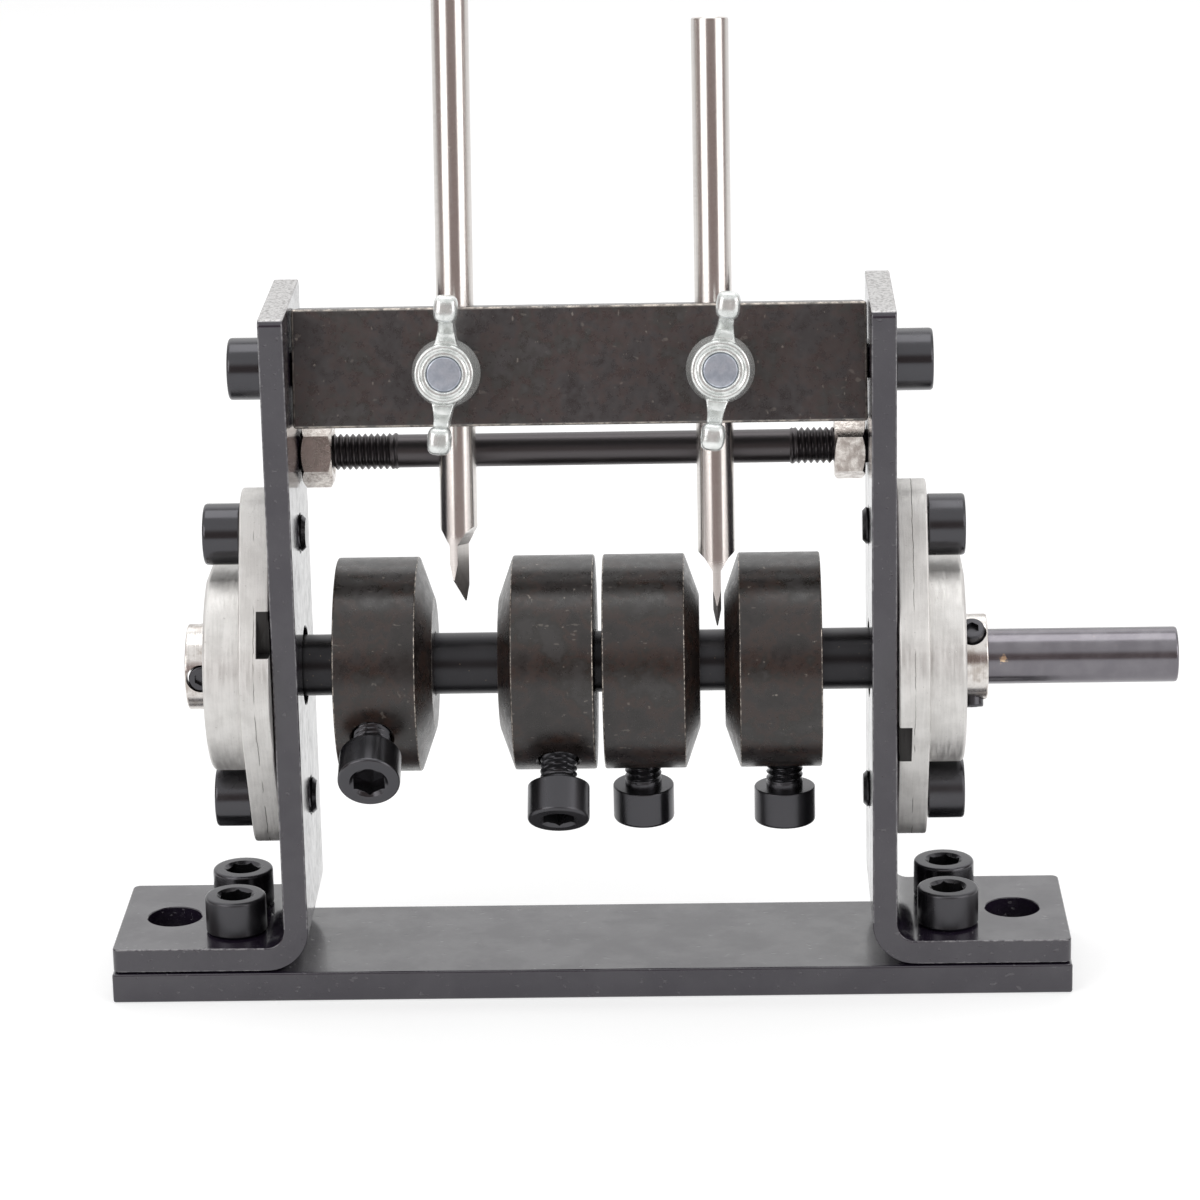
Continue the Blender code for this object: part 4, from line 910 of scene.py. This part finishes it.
# The ears and the hub are melted into one skin, as on a casting, and then the front is turned
def buildWingHead(name, finish):
    size = wingHead
    front, base = size["height"], size["baseRadius"]
    shape = turned(softened([(0, front), (size["frontRadius"], front, size["frontEdge"]),
                             (base, size["baseHeight"], size["baseEdge"]),
                             (base - size["footInset"], 0, size["footEdge"]), (0, 0)]), steps=72)
    for way in (-1, 1):
        shape = combined(shape, [wingEar(way)], "UNION")
        tip = pillow(size["tipHalves"], size["tipPower"])
        shape = combined(shape, [moved(tip, at(0, way * size["earReach"], size["earRise"]))], "UNION")
    casting = temporary(shape)
    remesh = casting.modifiers.new("skin", "REMESH")
    remesh.mode = "VOXEL"
    remesh.voxel_size = size["voxel"]
    smooth = casting.modifiers.new("smooth", "SMOOTH")
    smooth.factor = size["smoothing"]
    smooth.iterations = size["smoothRounds"]
    graph = bpy.context.evaluated_depsgraph_get()
    mesh = bpy.data.meshes.new_from_object(casting.evaluated_get(graph))
    shape = bmesh.new()
    shape.from_mesh(mesh)
    bpy.data.objects.remove(casting)
    bpy.data.meshes.remove(mesh)
    lip, groove, bore = size["lip"], size["grooveRadius"], size["bore"]
    mouth, flare, depth = size["mouth"], size["mouthFlare"], size["mouthDepth"]
    hole = turned([(0, front + beyond), (mouth + flare + beyond, front + beyond), (mouth + flare, front),
                   (mouth, front - flare), (mouth, front - depth), (bore, front - depth), (bore, -beyond),
                   (0, -beyond)], steps=64)
    ring = turned([(groove + lip + beyond, front + beyond), (groove + lip, front),
                   (groove, front - size["grooveDepth"]), (groove - lip, front),
                   (groove - lip, front + beyond)], steps=72, ring=True)
    shape = combined(shape, [hole])
    shape = combined(shape, [ring])
    back = bladeBar["depth"] / 2 + clampStud["standoff"]
    spot = leaning @ at(clampSpots[name], -back, -bladeBar["clampDrop"]) @ turnBy(90, size["turns"][name])
    makePiece(name + "_wing_head", shape, spot, finish, sharpAngle=50, weighted=False)


# Tie rod and its nuts

tieRod = dict(waist=2.7, waistRows=10, thread=2.95, pitch=1.0, threadDepth=0.5, leftThread=19.1,
              rightThread=15.7, runout=0.3, tip=0.5)
tieNut = dict(width=10.0, thickness=5.0, bore=3.25, boreFlare=0.35, chamfer=30, faceInset=0.15,
              turns={"left": 18.7, "right": 33})


def buildTieRod(finish):
    size = tieRod
    low, high = boxOf("tie_rod")
    middle = (low + high) / 2
    end, waist, rows, tip = high.x, size["waist"], size["waistRows"], size["tip"]
    rightStart, leftStart = end - size["rightThread"], size["leftThread"] - end
    points = [(0, end), (size["thread"] - tip, end)]
    points += threadRows(size["thread"], end - tip, rightStart, size["pitch"], size["threadDepth"])
    points += [(waist, rightStart - size["runout"]), (waist, rows), (waist, -rows),
               (waist, leftStart + size["runout"])]
    points += threadRows(size["thread"], leftStart, tip - end, size["pitch"], size["threadDepth"])
    points += [(size["thread"] - tip, -end), (0, -end)]
    rod = turned(points, steps=48, pitch=size["pitch"])
    makePiece("tie_rod", rod, at(0, middle.y, middle.z) @ turnBy(y=90), finish)


def buildTieNut(name, side, finish):
    size = tieNut
    node = name + "_tie_nut"
    low, high = boxOf(node)
    tie = middleOf("tie_rod")
    corner = size["width"] / 2 / math.cos(math.radians(30))
    thick = size["thickness"]
    slope = math.tan(math.radians(size["chamfer"]))
    flat, wide = size["width"] / 2 - size["faceInset"], corner + beyond
    drop = (wide - flat) * slope
    prism = hexPrism(size["width"], -thick, 0, side * (90 + size["turns"][name]))
    cone = turned([(0, 0), (flat, 0), (wide, -drop), (wide, drop - thick), (flat, -thick), (0, -thick)])
    nut = combined(prism, [cone], "INTERSECT")
    nut = combined(nut, [drill(size["bore"], (0, 0, 0), (0, 0, 1), -thick, 0, size["boreFlare"])])
    seat = low.x if side < 0 else high.x
    makePiece(node, nut, at(seat, tie.y, tie.z) @ outward(side), finish, sharpAngle=30)


# Flanged bearing units. Each piece has local Z along the shaft, away from the plate.

housing = dict(flangeThickness=4.9, depth=10.8, lobeRadius=7.5, lobeSteps=28, middleRadius=18.0,
               middleSteps=20, boltReach=22.5, barrelRadius=17.0, barrelStart=1.0, barrelSteps=40,
               flat=16.3, flangeEdge=0.35, rimEdge=0.75, seatRadius=13.3, seatDepth=4.9, seatFlare=0.4,
               seatFlareDepth=0.3, seatSteps=12, screwHole=3.5, screwHoleFlare=0.2, slotRise=9.9,
               slotHeight=6.75, slotDepth=1.9, slotInset=0.6, slotReach=6.5, plateGap=0.3)
bearing = dict(outerRadius=13.0, outerWidth=8.0, outerSteps=8, outerBore=11.3, outerEdge=0.3,
               innerRadius=7.0, innerBore=5.3, innerStart=-4.2, innerEnd=9.9, frontEdge=0.35, innerEdge=0.2,
               sealOuter=11.0, sealInner=7.3, sealThickness=0.6, sealEdge=0.15, sealOffset=3.4,
               lipRadius=8.1, dish=0.25, dishRim=0.5, dishSlope=0.3)
grubScrew = dict(radius=2.0, edge=0.3, proud={"left": -0.2, "right": 1.2}, socketWidth=2.0, socketDepth=0.9,
                 hole=2.3, holeStart=1, holeFlare=0.1, fromEnd=2.6,
                 angles={"left": (0, 240), "right": (-52, 68)})
plateFace = boxOf("right_bracket")[0].x + bentPlate["thickness"]
housingFace = plateFace + housing["plateGap"]
ringCentre = housingFace + housing["seatDepth"]


def buildHousing(name, side, finish):
    size = housing
    reach, lobe, middle = size["boltReach"], size["lobeRadius"], size["middleRadius"]
    tangent = math.degrees(math.acos((middle - lobe) / reach))
    outline = []
    for start, way in ((0, 1), (180, -1)):
        outline += arc((way * reach, 0), lobe, start - tangent, start + tangent, size["lobeSteps"])
        outline += arc((0, 0), middle, start + tangent, start + 180 - tangent, size["middleSteps"])
    flange = eased(raised(outline, 0, size["flangeThickness"]), size["flangeEdge"])
    flat = math.degrees(math.acos(size["flat"] / size["barrelRadius"]))
    outline = []
    for start in (0, 180):
        outline += arc((0, 0), size["barrelRadius"], start + flat, start + 180 - flat, size["barrelSteps"])
    barrel = raised(outline, size["barrelStart"], size["depth"])
    rim = size["depth"] - nearby
    barrel = eased(barrel, size["rimEdge"], segments=4,
                   keep=lambda edge: min(end.co.z for end in edge.verts) > rim)
    shape = combined(flange, [barrel], "UNION")
    upper, lower, steps = size["depth"] - size["seatDepth"], -size["seatDepth"], size["seatSteps"]
    zone = []
    for step in range(steps + 1):
        height = upper + (lower - upper) * step / steps
        zone.append((math.sqrt(size["seatRadius"] ** 2 - height ** 2), height))
    mouth = zone[0][0] + size["seatFlare"]
    seat = [(0, upper + beyond), (mouth + beyond, upper + beyond), (mouth, upper)]
    seat += [(zone[0][0], upper - size["seatFlareDepth"])] + zone[1:]
    seat += [(zone[-1][0], lower - beyond), (0, lower - beyond)]
    shape = combined(shape, [moved(turned(seat), at(0, 0, size["seatDepth"]))])
    start, end = size["seatRadius"] + size["slotInset"], middle + size["slotReach"]
    cutters = []
    for turn in (1, -1):
        cutters.append(drill(size["screwHole"], (turn * reach, 0, 0), (0, 0, 1), 0, size["flangeThickness"],
                             size["screwHoleFlare"]))
        high = turn * size["slotRise"] + size["slotHeight"] / 2
        low = turn * size["slotRise"] - size["slotHeight"] / 2
        slot = [(low, -turn * start), (high, -turn * start), (high, -turn * end), (low, -turn * end)]
        cutters.append(raised(slot, -beyond, size["slotDepth"]))
    shape = combined(shape, cutters)
    spot = at(side * housingFace, 0, shaftHeight) @ outward(side)
    makePiece(name + "_bearing_housing", shape, spot, finish, sharpAngle=32)


def buildBearing(name, side, ringFinish, sealFinish, screwFinish):
    size = bearing
    centre = at(side * ringCentre, 0, shaftHeight) @ outward(side)
    half, bore, edge = size["outerWidth"] / 2, size["outerBore"], size["outerEdge"]
    outer = []
    for step in range(size["outerSteps"] + 1):
        height = half - size["outerWidth"] * step / size["outerSteps"]
        outer.append((math.sqrt(size["outerRadius"] ** 2 - height ** 2), height))
    outer += [(bore + edge, -half), (bore, edge - half), (bore, half - edge), (bore + edge, half)]
    makePiece(name + "_outer_ring", turned(outer, ring=True), centre, ringFinish)
    thick, rim, lip = size["sealThickness"] / 2, size["sealOuter"], size["sealInner"]
    for where, offset in (("inner", -size["sealOffset"]), ("outer", size["sealOffset"])):
        seal = softened([(rim, thick), (rim, -thick), (lip, -thick), (lip, thick, size["sealEdge"])])
        if where == "outer":
            floor, dishEnd = thick - size["dish"], rim - size["dishRim"]
            seal += [(size["lipRadius"], thick), (size["lipRadius"] + size["dish"], floor),
                     (dishEnd - size["dishSlope"], floor), (dishEnd, thick)]
        spot = centre @ at(0, 0, offset)
        makePiece(name + "_" + where + "_seal", turned(seal, ring=True), spot, sealFinish)
    radius, bore, start, end = (size["inner" + part] for part in ("Radius", "Bore", "Start", "End"))
    ring = turned(softened([(radius, end, size["frontEdge"]), (radius, start, size["innerEdge"]),
                            (bore, start), (bore, end, size["innerEdge"])]), ring=True)
    along = end - grubScrew["fromEnd"]
    grubRadius, top = grubScrew["radius"], radius + grubScrew["proud"][name]
    foot = bore - top
    for number, angle in enumerate(grubScrew["angles"][name], 1):
        turn = math.radians(angle)
        around = math.atan2(side * math.cos(turn), -math.sin(turn))
        direction = (math.cos(around), math.sin(around), 0)
        ring = combined(ring, [drill(grubScrew["hole"], (0, 0, along), direction, grubScrew["holeStart"],
                                     radius, grubScrew["holeFlare"])])
        grub = turned(softened([(0, 0), (grubRadius, 0, grubScrew["edge"]), (grubRadius, foot),
                                (0, foot)]), steps=48)
        grub = combined(grub, [hexPrism(grubScrew["socketWidth"], -grubScrew["socketDepth"], beyond)])
        spot = at(side * (ringCentre + along), -top * math.cos(turn), -top * math.sin(turn))
        spot = shaftCentre @ spot @ radial(angle)
        makePiece(name + "_grub_screw_" + str(number), grub, spot, screwFinish)
    makePiece(name + "_inner_ring", ring, centre, ringFinish)


# Shaft and rollers

shaft = dict(radius=5.0, stubRadius=4.5, chamfer=0.5)
roller = dict(radius=17.5, width=15.6, bore=5.3, boreEdge=0.2, chamferWidth=2.4, chamferDepth=6.8,
              edge=0.25, rearEdge=0.35, screwInset=6.0, screwHole=3.3, holeStart=1, holeSink=0.25,
              holeFlare=0.1, neck=4.3, angles=(25, 49, 94, 90),
              wornEdges=((17.45, -2.4), (17.45, -15.5), (10.7, -0.05)))


def buildShaft(finish):
    radius, stub, chamfer = shaft["radius"], shaft["stubRadius"], shaft["chamfer"]
    low, high = boxOf("drive_shaft")
    shoulder = boxOf("right_inner_ring")[1].x
    points = softened([(0, high.x), (stub, high.x, chamfer), (stub, shoulder), (radius, shoulder),
                       (radius, low.x, chamfer), (0, low.x)])
    makePiece("drive_shaft", moved(turned(points, steps=80), turnBy(y=90)), shaftCentre, finish)


def buildRoller(number, finish, screwFinish):
    size = roller
    radius, width, bore, edge = size["radius"], size["width"], size["bore"], size["edge"]
    node = "roller_" + str(number)
    low, high = boxOf(node)
    way = 1 if number in (1, 3) else -1
    face = high.x if way > 0 else low.x
    points = softened([(bore, 0, size["boreEdge"]), (radius - size["chamferDepth"], 0, edge),
                       (radius, -size["chamferWidth"], edge), (radius, -width, size["rearEdge"]),
                       (bore, -width, size["boreEdge"])])
    body = turned(points, steps=128, ring=True)
    angle = size["angles"][number - 1]
    turn = math.radians(angle)
    inset = width - size["screwInset"]
    around = math.atan2(-math.cos(turn), way * math.sin(turn))
    direction = (math.cos(around), math.sin(around), 0)
    hole = drill(size["screwHole"], (0, 0, -inset), direction, size["holeStart"],
                 radius - size["holeSink"], size["holeFlare"])
    body = combined(body, [hole])
    makePiece(node, body, at(face, 0, shaftHeight) @ turnBy(y=way * 90), finish, sharpAngle=30)
    seat = radius + size["neck"]
    screw = socketScrewShape(seat - bore)
    spot = at(face - way * inset, -seat * math.cos(turn), -seat * math.sin(turn))
    makePiece("roller_screw_" + str(number), screw, shaftCentre @ spot @ radial(angle), screwFinish)


# Studio

studio = dict(floorColour=paint(0.60, 0.60, 0.60), floorGlow=0.56, floorSize=6.0, white=paint(1, 1, 1),
              room=paint(0.28, 0.22, 0.21), level=paint(0.50, 0.50, 0.50), backFade=(0.25, 0.6),
              aboveFade=(0.34, 0.60), belowFade=(-0.02, -0.1), aim=(0, 0, 0.06))
lamps = (  # name, place and size in metres, power in watts
    ("left_softbox", (-0.84, -0.85, 0.55), (0.90, 0.75), 4.4),
    ("right_softbox", (1.02, -0.60, 0.50), (0.90, 0.75), 4.4),
    ("top_softbox", (0.0, 0.15, 1.15), (0.9, 0.7), 3.4),
    ("rear_softbox", (0.0, 0.85, 0.82), (1.8, 0.5), 1.8),
)


# Whether a ray comes straight from the camera, from a gloss or through glass
def rayKinds(start):
    kinds = ("Is Camera Ray", "Is Glossy Ray", "Is Transmission Ray")
    return [start.node("LightPath", {}, {}, kind) for kind in kinds]


# A floor that shows nearly white but lights the object only as a grey one would
def buildFloor():
    look = studio
    floorMesh = bmesh.new()
    bmesh.ops.create_grid(floorMesh, x_segments=1, y_segments=1, size=look["floorSize"])
    mesh = bpy.data.meshes.new("studio_floor")
    floorMesh.to_mesh(mesh)
    floorMesh.free()
    floor = bpy.data.objects.new("studio_floor", mesh)
    bpy.context.scene.collection.objects.link(floor)
    material = bpy.data.materials.new("pale floor")
    material.use_nodes = True
    tree = material.node_tree
    tree.nodes.remove(tree.nodes["Principled BSDF"])
    start = Signal(tree)
    seen, glossy, through = rayKinds(start)
    shown = seen.most(glossy).most(through)
    matt = start.node("BsdfDiffuse", {}, {"Color": look["floorColour"]})
    glow = start.node("Emission", {}, {"Strength": shown * look["floorGlow"]})
    surface = start.node("AddShader", {}, {0: matt, 1: glow})
    tree.links.new(surface.socket, tree.nodes["Material Output"].inputs["Surface"])
    floor.data.materials.append(material)


# A white background, a plain grey level of light, and in reflections a darker room to the front
def buildWorld():
    look = studio
    world = bpy.data.worlds.new("studio")
    bpy.context.scene.world = world
    world.use_nodes = True
    tree = world.node_tree
    start = Signal(tree)
    seen, glossy, through = rayKinds(start)
    direction = start.node("TexCoord", {}, {}, "Generated")
    back = direction.part(1).ramped(*look["backFade"])
    above = direction.part(2).ramped(*look["aboveFade"])
    below = direction.part(2).ramped(*look["belowFade"])
    lit = back.most(above).most(below)
    tone = glossy.blended(look["level"], lit.blended(look["room"], look["white"]))
    tone = seen.most(through).blended(tone, look["white"])
    tree.links.new(tone.socket, tree.nodes["Background"].inputs["Color"])


def placeLamps():
    aim = Vector(studio["aim"])
    for name, spot, size, power in lamps:
        lamp = bpy.data.lights.new(name, "AREA")
        lamp.shape = "RECTANGLE"
        lamp.size, lamp.size_y = size
        lamp.energy = power
        item = bpy.data.objects.new(name, lamp)
        bpy.context.scene.collection.objects.link(item)
        item.location = spot
        item.rotation_euler = (aim - Vector(spot)).to_track_quat("-Z", "Y").to_euler()


def placeCamera():
    view = dict(lens=131.506, sensor=36.0, near=0.01, far=50.0, spot=(21.48, -681.53, 271.43), yaw=1.607,
                down=16.963, roll=-1.231)
    camera = bpy.data.cameras.new("bench_camera")
    camera.lens = view["lens"]
    camera.sensor_width = view["sensor"]
    camera.clip_start = view["near"]
    camera.clip_end = view["far"]
    item = bpy.data.objects.new("bench_camera", camera)
    bpy.context.scene.collection.objects.link(item)
    turn = (Matrix.Rotation(math.radians(view["yaw"]), 4, "Z")
            @ Matrix.Rotation(math.radians(90 - view["down"]), 4, "X")
            @ Matrix.Rotation(math.radians(view["roll"]), 4, "Z"))
    item.matrix_world = Matrix.Translation(Vector(view["spot"]) * mm) @ turn
    bpy.context.scene.camera = item


bpy.context.scene.view_settings.view_transform = "Standard"
placeCamera()
buildFloor()
buildWorld()
placeLamps()
print("camera, lamps and floor placed")

rollerShades = (paint(0.011, 0.008, 0.007), paint(0.020, 0.015, 0.014), paint(0.032, 0.018, 0.014),
                paint(0.016, 0.013, 0.011), paint(0.031, 0.027, 0.026))
barShades = (paint(0.024, 0.020, 0.021), paint(0.036, 0.032, 0.033), paint(0.046, 0.030, 0.028),
             paint(0.029, 0.027, 0.025), paint(0.048, 0.043, 0.044))
barHalves = [bladeBar[side] / 2 for side in ("length", "depth", "height")]

framePaint = satinFramePaint()
rollerSteel = blackenedSteel("blackened roller steel", rollerShades, 0.58, edges=roller["wornEdges"])
barSteel = blackenedSteel("blackened bar steel", barShades, 1.0, boxEdges=barHalves)
blackScrews = fastenerBlack("screw black oxide", paint(0.074, 0.073, 0.079), 0.18, 0.34)
blackTieRod = fastenerBlack("tie rod black oxide", paint(0.093, 0.085, 0.088), 0.36, 0.46)
zincCasting = castZinc()
rodSteel = groundRodSteel()
ringSteel = turnedRingSteel()
wingZinc = brightZinc("wing screw zinc", paint(0.60, 0.625, 0.61), paint(0.95, 0.965, 0.95), 0.16, 0.62)
studZinc = brightZinc("stud zinc", paint(0.34, 0.37, 0.43), paint(0.62, 0.66, 0.74), 0.28, 0.62, 0.008)
nutZinc = brightZinc("nut zinc", paint(0.40, 0.35, 0.32), paint(0.74, 0.70, 0.66), 0.16, 0.95)
rubber = sealRubber()
shaftBlack = shaftBlacking()
print("finishes mixed")

buildBase(framePaint)
for name, side in sides:
    buildBracket(name, side, framePaint)
print("base and brackets built")
placeSocketScrews(blackScrews)
buildBar(barSteel)
for name in bladeSpots:
    buildBlade(name, rodSteel)
    buildClampStud(name, studZinc)
    buildWingHead(name, wingZinc)
print("bar, blades and wing screws built")
buildTieRod(blackTieRod)
for name, side in sides:
    buildTieNut(name, side, nutZinc)
    buildHousing(name, side, zincCasting)
    buildBearing(name, side, ringSteel, rubber, blackScrews)
    cage = frame["nodes"][name + "_ball_cage"]
    cage.data.materials.clear()
    cage.data.materials.append(ringSteel.material)
print("bearing units built")
buildShaft(shaftBlack)
for number in range(1, 5):
    buildRoller(number, rollerSteel, blackScrews)
print("shaft and rollers built")
